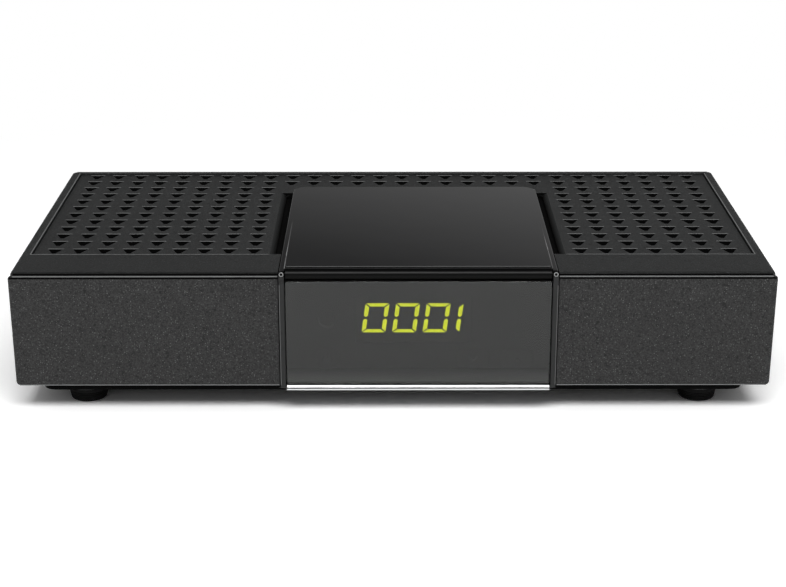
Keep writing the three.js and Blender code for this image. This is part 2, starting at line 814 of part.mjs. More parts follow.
// Button, drawn about its middle on the bay panel's front plane
function makeButton(shape) {
  const flangeFront = bayWall + seatGap;
  const flangeBack = flangeFront + buttonFlangeDepth;
  return joined([
    frontal(shape(0), -buttonProud, flangeBack - sink, buttonEdge),
    frontal(shape(buttonFlange), flangeFront, flangeBack),
  ]);
}

// Push switch on the front board, drawn about its middle on the button's back plane
function makeSwitch() {
  const front = buttonFree;
  const bodyFront = front + plungerLength;
  const back = boardFace - seatGap - (bayFront + bayWall + seatGap + buttonFlangeDepth);
  const half = switchSize / 2;
  return joined([
    block(-half, half, bodyFront, back, -half, half),
    frontal(disc(0, 0, plungerRadius), front, bodyFront + sink),
  ]);
}

// Bottom tray: shallow pan with a brim inside the cover, bosses for the feet below and
// standoffs for the board above
function makeTray() {
  const half = halfWidth - panInset;
  const front = frontY + panFront;
  const rear = rearY - panRear;
  const above = brimTop + overrun;
  const slots = [-slotGroupOffset, slotGroupOffset].flatMap((x) =>
    Array.from({ length: slotRows }, (_, row) => {
      const y = boardMiddleY + (row - (slotRows - 1) / 2) * slotPitch;
      const reach = slotLength / 2;
      const wide = slotWidth / 2;
      return rectangle(x - reach, y - wide, x + reach, y + wide, wide);
    }),
  );
  const base = rectangle(-half, front, half, rear, panCorner);
  const pan = upright(base, panBottom, panTop + panEdge, panEdge);
  const wall = upright(rectangle(-half, brimFront, half, rear, panCorner), panTop - sink, brimTop);
  const brim = upright(rectangle(-brimHalf, brimFront, brimHalf, brimRear), brimTop - brimRise, brimTop);
  const inner = half - panWall;
  const floor = rectangle(-inner, brimFront + panWall, inner, rear - panWall, panCorner);
  const room = upright(floor, panTop, above);
  const frontRoom = block(-bodyWidth, bodyWidth, frontY - overrun, brimFront, panTop, above);
  const solids = [cut(joined([pan, wall, brim]), [room, frontRoom])];
  const tools = [upright(slots, panBottom - overrun, above, 0, fewSteps)];
  footPlaces().forEach(([x, y]) => {
    solids.push(upright(disc(x, y, bossRadius), panBottom - bossDrop, panTop, 0, roundSteps));
  });
  standoffPlaces().forEach(([x, y]) => {
    solids.push(upright(disc(x, y, standoffRadius), panTop - sink, boardBottom - seatGap, 0, fewSteps));
  });
  const stemTop = footHeight + footStemHeight + seatGap;
  footPlaces().forEach(([x, y]) => {
    tools.push(upright(disc(x, y, footStem + seatGap), panBottom - bossDrop - overrun, stemTop, 0, fewSteps));
  });
  screwPlaces().forEach(([x, y]) => {
    tools.push(upright(disc(x, y, screwRadius + seatGap), panTop, above, 0, fewSteps));
  });
  return cut(joined(solids), tools);
}

function footPlaces() {
  const front = frontY + footSetback;
  const rear = rearY - footSetback;
  const side = halfWidth - footInset;
  return [[-side, front], [side, front], [-side, rear], [side, rear]];
}

function screwPlaces() {
  const x = coverHalf - coverPostInset;
  return screwShares.flatMap((share) => {
    const y = frontY + share * bodyDepth;
    return [[-x, y], [x, y]];
  });
}

function standoffPlaces() {
  const x = boardHalf - 2 * standoffRadius;
  const inset = 2 * standoffRadius;
  return [boardFrontY + inset, boardRearY - inset - tunerDepth].flatMap((y) => [[-x, y], [0, y], [x, y]]);
}

// Rubber foot, turned about its own middle on the floor
function makeFoot() {
  const low = footRadius - footTaper;
  return turned([
    [0, footDimpleDepth],
    [footDimple, footDimpleDepth],
    [footDimple, 0],
    [low - footEdge, 0],
    [low, footEdge],
    [footRadius, footHeight],
    [footStem, footHeight],
    [footStem, footHeight + footStemHeight],
    [0, footHeight + footStemHeight],
  ]);
}

// Case screw, turned about its own middle, with its head's seat at Z = 0
function makeScrew() {
  const body = turned([
    [0, -screwHeadHeight],
    [screwHead - screwDome, -screwHeadHeight],
    [screwHead, screwDome - screwHeadHeight],
    [screwHead, 0],
    [screwRadius, 0],
    [screwRadius, brimRise + seatGap],
    [coverPostBore - seatGap, brimRise + 2 * seatGap],
    [coverPostBore - seatGap, screwLength],
    [0, screwLength],
  ], smallTurnSteps);
  const wide = screwSlot / 2;
  const low = -screwHeadHeight - overrun;
  const high = -screwHeadHeight / 2;
  const cross = block(-screwSlotReach, screwSlotReach, -wide, wide, low, high);
  return cut(body, [cross, block(-wide, wide, -screwSlotReach, screwSlotReach, low, high)]);
}

// Socket places on the rear panel: aerial sockets at one end, the others spread over the rest
const rfInX = halfWidth - rfInset;
const rfOutX = rfInX - rfPitch;
const tunerX = (rfInX + rfOutX) / 2;
const rowWidths = [powerWidth, phonoBlock, usbWidth, hdmiWidth, scartWidth];
const rowStart = socketRowInset - halfWidth;
const rowLength = tunerX - tunerWidth / 2 - rowStart;
const rowGap = (rowLength - rowWidths.reduce((sum, width) => sum + width)) / rowWidths.length;
const [powerX, phonoX, usbX, hdmiX, scartX] = rowWidths.map((width, i) => {
  const before = rowWidths.slice(0, i).reduce((sum, other) => sum + other + rowGap, rowStart);
  return before + width / 2;
});
const shellZ = (height) => partBase + height / 2;

// Slanted outline of the large video socket, in X and Z about its middle
function scartOutline(width, height, slant) {
  return outline([
    [-width / 2, -height / 2],
    [width / 2 - slant, -height / 2],
    [width / 2, slant - height / 2],
    [width / 2, height / 2],
    [-width / 2, height / 2],
  ]);
}

// Six-sided outline of the digital video socket, in X and Z about its middle
function hdmiOutline(grow) {
  const x = hdmiWidth / 2 + grow;
  const z = hdmiHeight / 2 + grow;
  return outline([
    [-x + hdmiCut, -z],
    [x - hdmiCut, -z],
    [x, hdmiCut - z],
    [x, z],
    [-x, z],
    [-x, hdmiCut - z],
  ]);
}

function usbOutline(grow) {
  const x = usbWidth / 2 + grow;
  const z = usbHeight / 2 + grow;
  return rectangle(-x, -z, x, z, shellWall);
}

// Rear panel: plate between the cover's sides, with a cut-out round each socket
function makeRearPanel() {
  const face = rectangle(-brimHalf, fasciaBottom, brimHalf, skirtBottom - 2 * seatGap);
  const front = rearInner - overrun;
  const back = rearFace + overrun;
  const shapes = [
    [rfInX, partBase + rfHeight, disc(0, 0, rfBarrel + cutGap)],
    [rfOutX, partBase + rfHeight, disc(0, 0, rfPlugBarrel + cutGap)],
    [scartX, shellZ(scartHeight),
      scartOutline(scartWidth + 2 * cutGap, scartHeight + 2 * cutGap, scartSlant)],
    [hdmiX, shellZ(hdmiHeight), hdmiOutline(cutGap)],
    [usbX, shellZ(usbHeight), usbOutline(cutGap)],
    [phonoX, shellZ(phonoBlockHeight), disc(0, 0, phonoCollar + cutGap)],
    [powerX, shellZ(powerHeight), disc(0, 0, powerBore + coverWall / 2)],
  ];
  const tools = shapes.map(([x, z, shape]) => frontal(shape, front, back).translate(x, 0, z));
  return cut(frontal(face, rearInner, rearFace), tools);
}

// Aerial sockets, turned about Z from the tuner's wall outwards, then laid along +Y
function rfLength() {
  return rearY + rfReach - (tunerBack() + seatGap);
}
function tunerBack() {
  return rearInner - seatGap - rfFlangeDepth - seatGap;
}
function makeRfIn() {
  const length = rfLength();
  const contact = length - rfContactSetback;
  return turned([
    [0, 0],
    [rfFlange, 0],
    [rfFlange, rfFlangeDepth],
    [rfBarrel, rfFlangeDepth],
    [rfBarrel, length - rfEdge],
    [rfBarrel - rfEdge, length],
    [rfBore, length],
    [rfBore, rfFlangeDepth],
    [rfContact, rfFlangeDepth],
    [rfContact, contact],
    [rfContactBore, contact],
    [rfContactBore, rfFlangeDepth + rfContact],
    [0, rfFlangeDepth + rfContact],
  ]);
}
function makeRfOut() {
  const length = rfLength();
  return turned([
    [0, 0],
    [rfFlange, 0],
    [rfFlange, rfFlangeDepth],
    [rfPlugBarrel, rfFlangeDepth],
    [rfPlugBarrel, length - rfEdge],
    [rfPlugBarrel - rfEdge, length],
    [rfPlugBore, length],
    [rfPlugBore, rfFlangeDepth + rfContact],
    [rfPin, rfFlangeDepth + rfContact],
    [rfPin, length - rfContactSetback - rfEdge],
    [0, length - rfContactSetback],
  ]);
}

// Tuner can: folded box, open underneath, with a lid over its top and a row of holes in it
function makeTuner() {
  const half = tunerWidth / 2;
  const under = tunerHeight - tunerLid;
  const can = block(-half, half, -tunerDepth, 0, 0, under);
  const room = block(
    tunerWall - half,
    half - tunerWall,
    tunerWall - tunerDepth,
    -tunerWall,
    -overrun,
    under - tunerWall,
  );
  const lid = block(
    -half - tunerLid,
    half + tunerLid,
    -tunerDepth - tunerLid,
    -tunerLid,
    tunerHeight - tunerLidHeight,
    tunerHeight,
  );
  const tools = [room];
  for (let i = 0; i < tunerVents; i++) {
    const x = -half + ((i + 1) * tunerWidth) / (tunerVents + 1);
    const hole = disc(x, -tunerDepth / 2, tunerVent);
    tools.push(upright(hole, under - overrun, tunerHeight + overrun, 0, fewSteps));
  }
  return cut(can.add(lid), tools);
}

// Large video socket, drawn about its middle with its face at Y = 0: a groove round a
// slanted island with two rows of contact slots
function makeScart() {
  const grow = 2 * scartGroove;
  const outer = scartOutline(scartIslandWidth + grow, scartIslandHeight + grow, scartSlant);
  const inner = scartOutline(scartIslandWidth, scartIslandHeight, scartSlant);
  const ring = frontal(outer, -scartGrooveDepth, overrun);
  const slots = [];
  for (let i = 0; i < scartSlots; i++) {
    const x = (i - (scartSlots - 1) / 2) * scartSlotPitch;
    [-1, 1].forEach((side) => {
      const z = (side * (scartRowGap + scartSlotHeight)) / 2;
      const [halfX, halfZ] = [scartSlot / 2, scartSlotHeight / 2];
      slots.push(rectangle(x - halfX, z - halfZ, x + halfX, z + halfZ));
    });
  }
  return cut(frontal(scartOutline(scartWidth, scartHeight, scartSlant), -scartDepth, 0), [
    ring.subtract(frontal(inner, -scartDepth, overrun)),
    frontal(slots, -scartGrooveDepth, overrun),
  ]);
}

// Shielded socket, drawn about its middle with its mouth at Y = 0: shell with a back
// wall and a tongue
function makeShielded(shape, width, depth, tongueRise) {
  const x = width / 2 - shellWall - tongueSideGap;
  const back = -depth + shellBack;
  const z = tongueThickness / 2;
  const tongue = block(-x, x, back - sink, -tongueSetback, tongueRise - z, tongueRise + z);
  return frontal(shape(0), -depth, 0).subtract(frontal(shape(-shellWall), back, overrun)).add(tongue);
}

// Phono socket for digital sound, drawn about its middle on the rear panel's outer face
function makePhono() {
  const half = phonoBlock / 2;
  const up = phonoBlockHeight / 2;
  const blockBack = rearInner - seatGap - rearFace;
  const barrel = turned([
    [0, blockBack - sink],
    [phonoCollar, blockBack - sink],
    [phonoCollar, phonoCollarDepth],
    [phonoBarrel, phonoCollarDepth],
    [phonoBarrel, phonoReach - rfEdge],
    [phonoBarrel - rfEdge, phonoReach],
    [phonoBore, phonoReach],
    [phonoBore, phonoCollarDepth],
    [0, phonoCollarDepth],
  ]).rotate(-90, 0, 0);
  return block(-half, half, blockBack - phonoBlockDepth, blockBack, -up, up).add(barrel);
}

// Power socket, drawn about its middle with its face at Y = 0
function makePower() {
  const x = powerWidth / 2;
  const z = powerHeight / 2;
  const bore = frontal(disc(0, 0, powerBore), -powerBoreDepth, overrun, 0, roundSteps);
  const pin = frontal(disc(0, 0, powerPin), -powerBoreDepth - sink, -tongueSetback);
  return frontal(rectangle(-x, -z, x, z, shellWall), -powerDepth, 0).subtract(bore).add(pin);
}

// Main board with its small chips
const onBoard = ([shareX, shareY]) => [shareX * boardHalf, boardMiddleY + shareY * boardHalfDepth];
function makeMainBoard() {
  const plan = rectangle(-boardHalf, boardFrontY, boardHalf, boardRearY, boardCorner);
  const [width, depth, height] = memorySize;
  const chips = memoryShares.map((shares) => {
    const [x, y] = onBoard(shares);
    const [halfX, halfY] = [width / 2, depth / 2];
    return block(x - halfX, x + halfX, y - halfY, y + halfY, boardTop - sink, boardTop + height);
  });
  const holes = standoffPlaces().map(([x, y]) =>
    upright(disc(x, y, standoffBore), boardBottom - overrun, boardTop + overrun, 0, fewSteps),
  );
  return cut(joined([upright(plan, boardBottom, boardTop), ...chips]), holes);
}

// Heat sink: base plate with upright fins, drawn about its middle on the chip's top
function makeHeatSink() {
  const half = sinkSize / 2;
  const pitch = (sinkSize - finThickness) / (finCount - 1);
  const fins = Array.from({ length: finCount }, (_, i) => {
    const x = i * pitch - half;
    return block(x, x + finThickness, -half, half, sinkBase - sink, sinkHeight);
  });
  return joined([block(-half, half, -half, half, 0, sinkBase), ...fins]);
}

// Capacitor with the crimp near its foot, turned about its own middle
function makeCapacitor() {
  return turned([
    [0, 0],
    [capRadius, 0],
    [capRadius, capGrooveRise - capGroove],
    [capRadius - capGroove, capGrooveRise],
    [capRadius, capGrooveRise + capGroove],
    [capRadius, capHeight - capEdge],
    [capRadius - capEdge, capHeight],
    [0, capHeight],
  ], smallTurnSteps);
}

// Choke: square base with a round core
function makeChoke() {
  const half = coilSize / 2;
  const base = upright(rectangle(-half, -half, half, half, coilStep), 0, coilHeight - coilStep);
  return base.add(upright(disc(0, 0, coilRadius), coilHeight - coilStep - sink, coilHeight, 0, roundSteps));
}

// Ribbon between the two plugs: level out of the front plug, bent down into the lower one
const ribbonX = ribbonShare * halfWidth;
const plugBack = boardFace + boardThickness + seatGap + plugDepth;
const ribbonZ = boardTop + plugRise + plugHeight / 2;
const lowerPlugTop = partBase + plugHeight;
const ribbonEndY = plugBack + seatGap + plugDepth + ribbonBend;
function makeRibbon() {
  const half = ribbonThickness / 2;
  const startY = plugBack + seatGap;
  const bendY = ribbonEndY - ribbonBend;
  const bendZ = ribbonZ - ribbonBend;
  const shape = new THREE.Shape();
  shape.moveTo(startY, ribbonZ - half);
  shape.lineTo(bendY, ribbonZ - half);
  shape.absarc(bendY, bendZ, ribbonBend - half, Math.PI / 2, 0, true);
  shape.lineTo(ribbonEndY - half, lowerPlugTop + seatGap);
  shape.lineTo(ribbonEndY + half, lowerPlugTop + seatGap);
  shape.absarc(bendY, bendZ, ribbonBend + half, 0, Math.PI / 2, false);
  shape.lineTo(startY, ribbonZ + half);
  return sideways(shape, -ribbonWidth / 2, ribbonWidth / 2, 0, 2 * arcSteps);
}

// Housing
place("fascia", makeFascia(), fasciaBlack);
place("top_cover", makeCover(), coverBlack);
place("vent_grille", makeGrille(), coverBlack);
place("centre_trim", makeTrim(), glossBlack);
place("bay_panel", makeBayPanel(), innerBlack);
place("bottom_tray", makeTray(), coverBlack);
place("rear_panel", makeRearPanel(), coverBlack);

// Flap
const flap = new THREE.Group();
flap.position.set(0, pivotY, pivotZ);
receiver.add(flap);
place("hinge_bar", makeHingeBar(), glossBlack, flap);
place("display_window", makeWindow(), smokedAcrylic, flap);
place("chrome_strip", makeStrip(), brightChrome, flap);

// Controls
buttons.forEach(({ name, share, face }) => {
  const x = acrossBay(share);
  place(`${name}_button`, makeButton(face), glossBlack).position.set(x, bayFront, buttonZ);
  const switchY = bayFront + bayWall + seatGap + buttonFlangeDepth;
  place(`${name}_switch`, makeSwitch(), tinPlate).position.set(x, switchY, buttonZ);
});

// Display and sensor
const [displayHalfX, displayHalfZ] = [displayWidth / 2, displayHeight / 2];
const displayShape = rectangle(-displayHalfX, -displayHalfZ, displayHalfX, displayHalfZ, displayEdge);
const displayLength = boardFace - seatGap - bayFront - displayRecess;
const displayBody = frontal(displayShape, 0, displayLength);
place("display_module", displayBody, displayGrey).position.set(displayX, bayFront + displayRecess, displayZ);
const sensorFront = bayFront + bayWall + seatGap;
const sensorBody = joined([
  frontal(
    rectangle(-sensorWidth / 2, -sensorHeight / 2, sensorWidth / 2, sensorHeight / 2),
    0,
    boardFace - seatGap - sensorFront,
  ),
  frontal(disc(0, 0, sensorDome), -bayWall, sink, displayEdge),
]);
place("remote_sensor", sensorBody, sensorTint).position.set(acrossBay(sensorShare), sensorFront, displayZ);

// Boards
const frontBoardShape = rectangle(
  slotLeft + frontBoardMargin,
  fasciaBottom + fasciaWall + frontBoardMargin,
  slotRight - frontBoardMargin,
  tunnelTop - frontBoardMargin,
  boardCorner,
);
place("front_board", frontal(frontBoardShape, boardFace, boardFace + boardThickness), boardGreen);
place("main_board", makeMainBoard(), boardGreen);

// Ribbon cable and its plugs
const plugHalf = plugWidth / 2;
const frontPlug = block(-plugHalf, plugHalf, -plugDepth, 0, 0, plugHeight);
const lowerPlug = block(-plugHalf, plugHalf, -plugDepth / 2, plugDepth / 2, 0, plugHeight);
place("front_plug", frontPlug, plugIvory).position.set(ribbonX, plugBack, boardTop + plugRise);
place("main_plug", lowerPlug, plugIvory).position.set(ribbonX, ribbonEndY, partBase);
place("ribbon_cable", makeRibbon(), ribbonWhite).position.set(ribbonX, 0, 0);

// Parts on the main board
const [chipX, chipY] = onBoard(chipShares);
const chipHalf = chipSize / 2;
const chipTop = partBase + chipHeight;
place("processor", block(-chipHalf, chipHalf, -chipHalf, chipHalf, 0, chipHeight), innerBlack)
  .position.set(chipX, chipY, partBase);
place("heat_sink", makeHeatSink(), heatSinkGrey).position.set(chipX, chipY, chipTop + seatGap);
capShares.forEach((shares, i) => {
  const [x, y] = onBoard(shares);
  place(`capacitor_${i + 1}`, makeCapacitor(), capSleeve).position.set(x, y, partBase);
});
const [coilX, coilY] = onBoard(coilShares);
place("choke", makeChoke(), innerBlack).position.set(coilX, coilY, partBase);

// Tuner and the sockets in the rear panel
place("tuner_can", makeTuner(), tinPlate).position.set(tunerX, tunerBack(), partBase);
[["aerial_in_socket", rfInX, makeRfIn], ["aerial_out_socket", rfOutX, makeRfOut]].forEach(([name, x, make]) => {
  const socket = place(name, make(), tinPlate);
  socket.rotation.x = -Math.PI / 2;
  socket.position.set(x, tunerBack() + seatGap, partBase + rfHeight);
});
const mouthY = rearFace + shellReach;
const hdmiBody = makeShielded(hdmiOutline, hdmiWidth, hdmiDepth, 0);
const usbBody = makeShielded(usbOutline, usbWidth, usbDepth, tongueThickness / 2);
const sockets = [
  ["scart_socket", makeScart(), innerBlack, scartX, mouthY, scartHeight],
  ["hdmi_socket", hdmiBody, tinPlate, hdmiX, mouthY, hdmiHeight],
  ["usb_socket", usbBody, tinPlate, usbX, mouthY, usbHeight],
  ["digital_audio_socket", makePhono(), tinPlate, phonoX, rearFace, phonoBlockHeight],
  ["power_socket", makePower(), innerBlack, powerX, rearInner - seatGap, powerHeight],
];
sockets.forEach(([name, body, look, x, y, height]) => {
  place(name, body, look).position.set(x, y, shellZ(height));
});

// Feet and case screws
const footNames = ["front_left", "front_right", "rear_left", "rear_right"];
footPlaces().forEach(([x, y], i) => {
  place(`foot_${footNames[i]}`, makeFoot(), rubberBlack).position.set(x, y, 0);
});
screwPlaces().forEach(([x, y], i) => {
  const z = brimTop - brimRise - seatGap;
  place(`case_screw_${footNames[i]}`, makeScrew(), screwSteel).position.set(x, y, z);
});

export default receiver;
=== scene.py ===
"""Finishes and studio for a compact cable television receiver.

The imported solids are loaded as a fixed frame. Every solid gets its real finish, and those
that show are replaced by finer pieces of the same size. Metres, front towards -Y, +Z up.
"""

import json
from math import cos, pi, radians, sin, tan

import bmesh
import bpy
from bpy.props import FloatProperty, FloatVectorProperty, PointerProperty, StringProperty
from mathutils import Matrix, Vector

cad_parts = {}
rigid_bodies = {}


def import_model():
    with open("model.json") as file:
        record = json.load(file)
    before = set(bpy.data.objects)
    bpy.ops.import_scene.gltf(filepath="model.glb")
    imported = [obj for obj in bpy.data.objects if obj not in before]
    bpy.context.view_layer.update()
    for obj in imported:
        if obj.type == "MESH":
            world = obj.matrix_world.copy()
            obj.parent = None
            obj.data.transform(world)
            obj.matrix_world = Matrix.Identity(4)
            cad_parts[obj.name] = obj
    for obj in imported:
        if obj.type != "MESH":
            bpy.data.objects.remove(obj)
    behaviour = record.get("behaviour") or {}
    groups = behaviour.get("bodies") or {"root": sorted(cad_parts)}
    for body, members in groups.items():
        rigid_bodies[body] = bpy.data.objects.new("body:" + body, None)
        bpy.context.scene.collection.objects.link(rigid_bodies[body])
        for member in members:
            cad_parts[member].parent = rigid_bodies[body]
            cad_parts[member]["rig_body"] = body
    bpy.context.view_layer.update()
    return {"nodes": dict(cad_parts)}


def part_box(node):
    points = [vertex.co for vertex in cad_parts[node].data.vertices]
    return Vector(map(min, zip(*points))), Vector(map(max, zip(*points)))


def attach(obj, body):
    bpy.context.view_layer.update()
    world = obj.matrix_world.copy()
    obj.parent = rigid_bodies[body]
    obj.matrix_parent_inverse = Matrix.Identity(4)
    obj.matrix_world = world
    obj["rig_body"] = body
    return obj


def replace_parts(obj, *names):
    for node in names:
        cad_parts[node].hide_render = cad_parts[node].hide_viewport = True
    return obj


bl_info = {
    "name": "Receiver Finishes",
    "version": (1, 0, 0),
    "blender": (4, 5, 0),
    "location": "View3D > Sidebar > Receiver",
    "description": "Finishes, fine pieces and studio for a compact television receiver",
    "category": "Object",
}

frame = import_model()

MM = 0.001


def linear(code):
    """Linear RGBA of an sRGB hex colour."""
    parts = [int(code[i : i + 2], 16) / 255 for i in (1, 3, 5)]
    return (*[c / 12.92 if c <= 0.04045 else ((c + 0.055) / 1.055) ** 2.4 for c in parts], 1.0)


def scaled(shade, share):
    """A colour made darker or lighter, kept between 0 and 1."""
    return (*[min(1.0, c * share) for c in shade[:3]], 1.0)


# Settings


def length(name, about, default):
    return FloatProperty(name=name, description=about, default=default, unit="LENGTH", precision=5)


def colour(name, about, code):
    return FloatVectorProperty(
        name=name, description=about, default=linear(code), size=4, subtype="COLOR", min=0, max=1
    )


def angle(name, about, degrees):
    return FloatProperty(name=name, description=about, default=radians(degrees), subtype="ANGLE")


def number(name, about, default):
    return FloatProperty(name=name, description=about, default=default, min=0)


class HousingSettings(bpy.types.PropertyGroup):
    cover_colour: colour("Cover", "Plastic of the cover, grille, tray and rear panel", "#1c1d1d")
    fascia_colour: colour("Fascia", "Plastic of the textured front", "#202020")
    gloss_colour: colour("Gloss", "Polished plastic of the trim", "#0b0b0c")
    roll_colour: colour("Roll", "Lacquer of the hinge bar", "#020202")
    inner_colour: colour("Inner", "Plastic of the panel behind the flap", "#141515")
    rubber_colour: colour("Feet", "Rubber of the feet", "#080808")
    cover_grain: length("Cover grain", "Width of the fine matt grain", 0.45 * MM)
    fascia_grain: length("Fascia grain", "Width of the spark-eroded grain", 0.5 * MM)
    edge_break: length("Edge radius", "Radius on moulded edges", 0.22 * MM)
    vent_edge: length("Vent lip", "Width of the lip behind each vent hole", 0.26 * MM)
    line_height: length("Trim line", "Height of the fading line on each side of the trim", 0.14 * MM)
    line_fade: length("Trim line length", "Distance over which that line fades", 48 * MM)


class FlapSettings(bpy.types.PropertyGroup):
    window_colour: colour("Window", "Smoke of the acrylic, as light crosses it", "#707270")
    chrome_colour: colour("Chrome", "Plating of the strip", "#f2f4f4")


class DisplaySettings(bpy.types.PropertyGroup):
    lit_colour: colour("Lit segment", "Light of the segments", "#cfd700")
    unlit_colour: colour("Unlit segment", "Segments that are off", "#1d1f1c")
    glow: number("Glow", "Strength of the lit segments", 5.9)
    digits: StringProperty(name="Digits", description="Number shown", default="0001")
    digit_height: length("Digit height", "Height of a digit", 8.9 * MM)
    digit_width: length("Digit width", "Width of a digit", 6.9 * MM)
    digit_pitch: length("Digit pitch", "Distance from digit to digit", 8.82 * MM)
    stroke: length("Stroke", "Width of an upright segment", 1.18 * MM)
    flat: length("Flat stroke", "Width of a level segment", 0.95 * MM)
    gap: length("Segment gap", "Gap between segments", 0.27 * MM)
    slant: angle("Slant", "Lean of the digits", 8)


class StudioSettings(bpy.types.PropertyGroup):
    floor_colour: colour("Floor", "Floor and background", "#ffffff")
    floor_gain: number("Floor gain", "How much brighter the camera sees the floor", 1.26)
    floor_near: length("Floor near", "Reach of the floor that takes shadow, from the middle", 0.16)
    ambient: number("Ambient", "Light from overhead", 0.45)
    ceiling: number("Ceiling", "Ceiling beside the walls, in mirrors", 0.3)
    key: number("Key", "Watts of the lamp in front", 24)
    key_rise: angle("Key height", "How high the lamp stands above the horizon", 50)
    key_distance: length("Key distance", "From the object to the lamp", 1.7)
    key_width: length("Key width", "Width of the lamp", 1.3)
    key_height: length("Key size", "Height of the lamp", 0.55)
    camera_place: FloatVectorProperty(
        name="Camera", description="Place of the camera", default=(-0.00108, -0.53484, 0.2043),
        subtype="TRANSLATION", unit="LENGTH", precision=5,
    )
    camera_tilt: angle("Tilt", "How far the camera looks down", 19.34)
    camera_turn: angle("Turn", "How far the camera looks to the left", -0.13)
    lens: number("Lens", "Focal length in mm", 80.87)


# Nodes and materials


def add(tree, kind, inputs=(), **settings):
    """Adds one shader node. Its inputs come in the node's own order, or by name: for MapRange
    the value, the two bounds it comes from and the two it goes to. Each is a number, a colour,
    a socket, or a node that feeds it from its first output."""
    made = tree.nodes.new("ShaderNode" + kind)
    for name, value in settings.items():
        setattr(made, name, value)
    sockets = [socket for socket in made.inputs if socket.enabled]
    if isinstance(inputs, dict):
        sockets = [next(s for s in sockets if s.name == name) for name in inputs]
        inputs = inputs.values()
    for socket, value in zip(sockets, inputs):
        if isinstance(value, bpy.types.Node):
            value = next(output for output in value.outputs if output.enabled)
        if isinstance(value, bpy.types.NodeSocket):
            tree.links.new(value, socket)
        else:
            socket.default_value = value
    return made


def finish(make):
    """Material made and named by one of the functions below, when it is first asked for."""
    made = bpy.data.materials.get(make.__name__)
    if made:
        return made
    made = bpy.data.materials.new(make.__name__)
    made.use_nodes = True
    tree = made.node_tree
    tree.nodes.clear()
    spot = add(tree, "TexCoord").outputs["Object"]
    add(tree, "OutputMaterial", {"Surface": make(tree, spot)})
    return made


def relieved(tree, base, rough, height, depth, strength, more=None):
    """Surface with a colour, a roughness and a fine relief of a real depth."""
    relief = add(tree, "Bump", {"Height": height, "Distance": depth, "Strength": strength})
    inputs = {"Base Color": base, "Roughness": rough, "Normal": relief, **(more or {})}
    return add(tree, "BsdfPrincipled", inputs)


def by_ray(tree, light, mirrored, seen, data_type):
    """One value where light falls on things, one in mirrors and one in the camera."""
    path = add(tree, "LightPath").outputs
    rays = (path["Is Glossy Ray"], path["Is Transmission Ray"])
    apart = add(tree, "Math", rays, operation="MAXIMUM")
    both = add(tree, "Mix", (apart, light, mirrored), data_type=data_type)
    return add(tree, "Mix", (path["Is Camera Ray"], both, seen), data_type=data_type)


TIP_SPACING = 1.2
SHADED_PIT_SHARE = 0.04
FLOW_SIZE = 24 * MM


def moulded(tree, spot, shade, grain, depth, roughness, contrast, glints, gloss):
    """Black plastic from an eroded mould: an even ground with faint flow marks, a few pits painted
    black as shade, and a pebbled grain whose tips are painted pale as pinpoint highlights."""
    cells = add(tree, "TexVoronoi", {"Vector": spot, "Scale": 1 / (TIP_SPACING * grain)})
    fine = add(tree, "TexNoise", (spot, 1.3 / grain, 3))
    flow = add(tree, "TexNoise", (spot, 1 / FLOW_SIZE, 2))
    chance = add(tree, "SeparateColor", {"Color": cells.outputs["Color"]}).outputs
    tip = add(tree, "MapRange", (cells, 0.18, 0.28, 1, 0))
    lucky = add(tree, "MapRange", {"Value": chance["Red"], "From Min": 0.2})
    painted_glint = add(tree, "Math", (tip, lucky), operation="MULTIPLY")
    tone = add(tree, "MapRange", (fine, 0.4, 0.6, 1 - contrast, 1 + contrast))
    drift = add(tree, "MapRange", (flow, 0.3, 0.7, 0.92, 1.08))
    grey = add(tree, "Math", (tone, drift), operation="MULTIPLY")
    # Painted shade: a few whole cells are painted black, as the shade in small pits.
    pit_shade_mask = add(tree, "Math", (chance["Green"], SHADED_PIT_SHARE), operation="GREATER_THAN")
    pit_shaded = add(tree, "Math", (grey, pit_shade_mask), operation="MULTIPLY")
    ground = add(tree, "Mix", (1, shade, pit_shaded), data_type="RGBA", blend_type="MULTIPLY")
    # Painted highlight: some grain tips are painted many times paler, as pinpoint glints.
    base = add(tree, "Mix", (painted_glint, ground, scaled(shade, glints)), data_type="RGBA")
    pebble = add(tree, "Math", (cells, fine), operation="ADD")
    rough = add(tree, "MapRange", (fine, 0.3, 0.7, roughness - 0.08, roughness + 0.08))
    return relieved(tree, base, rough, pebble, depth, 0.8, {"Specular IOR Level": gloss})


def spark_eroded_abs(tree, spot):
    """ABS from a spark-eroded mould: a coarse pebble whose tips are painted pale as glints. The
    pebble is drawn about twice as coarse as the real one, so that it shows."""
    s = bpy.context.scene.receiver_housing
    return moulded(
        tree, spot, s.fascia_colour, s.fascia_grain,
        depth=0.12 * MM, roughness=0.42, contrast=0.75, glints=8.5, gloss=0.38,
    )


def etched_abs(tree, spot):
    """ABS from an etched mould: a fine matt grain, drawn a little coarse so that it shows."""
    s = bpy.context.scene.receiver_housing
    return moulded(
        tree, spot, s.cover_colour, s.cover_grain,
        depth=0.05 * MM, roughness=0.48, contrast=0.5, glints=8, gloss=0.46,
    )


def satin_abs(tree, spot):
    """ABS as it leaves a plain mould: satin, with soft flow marks."""
    s = bpy.context.scene.receiver_housing
    return moulded(
        tree, spot, s.inner_colour, 0.8 * MM,
        depth=0.01 * MM, roughness=0.4, contrast=0.12, glints=1.2, gloss=0.4,
    )


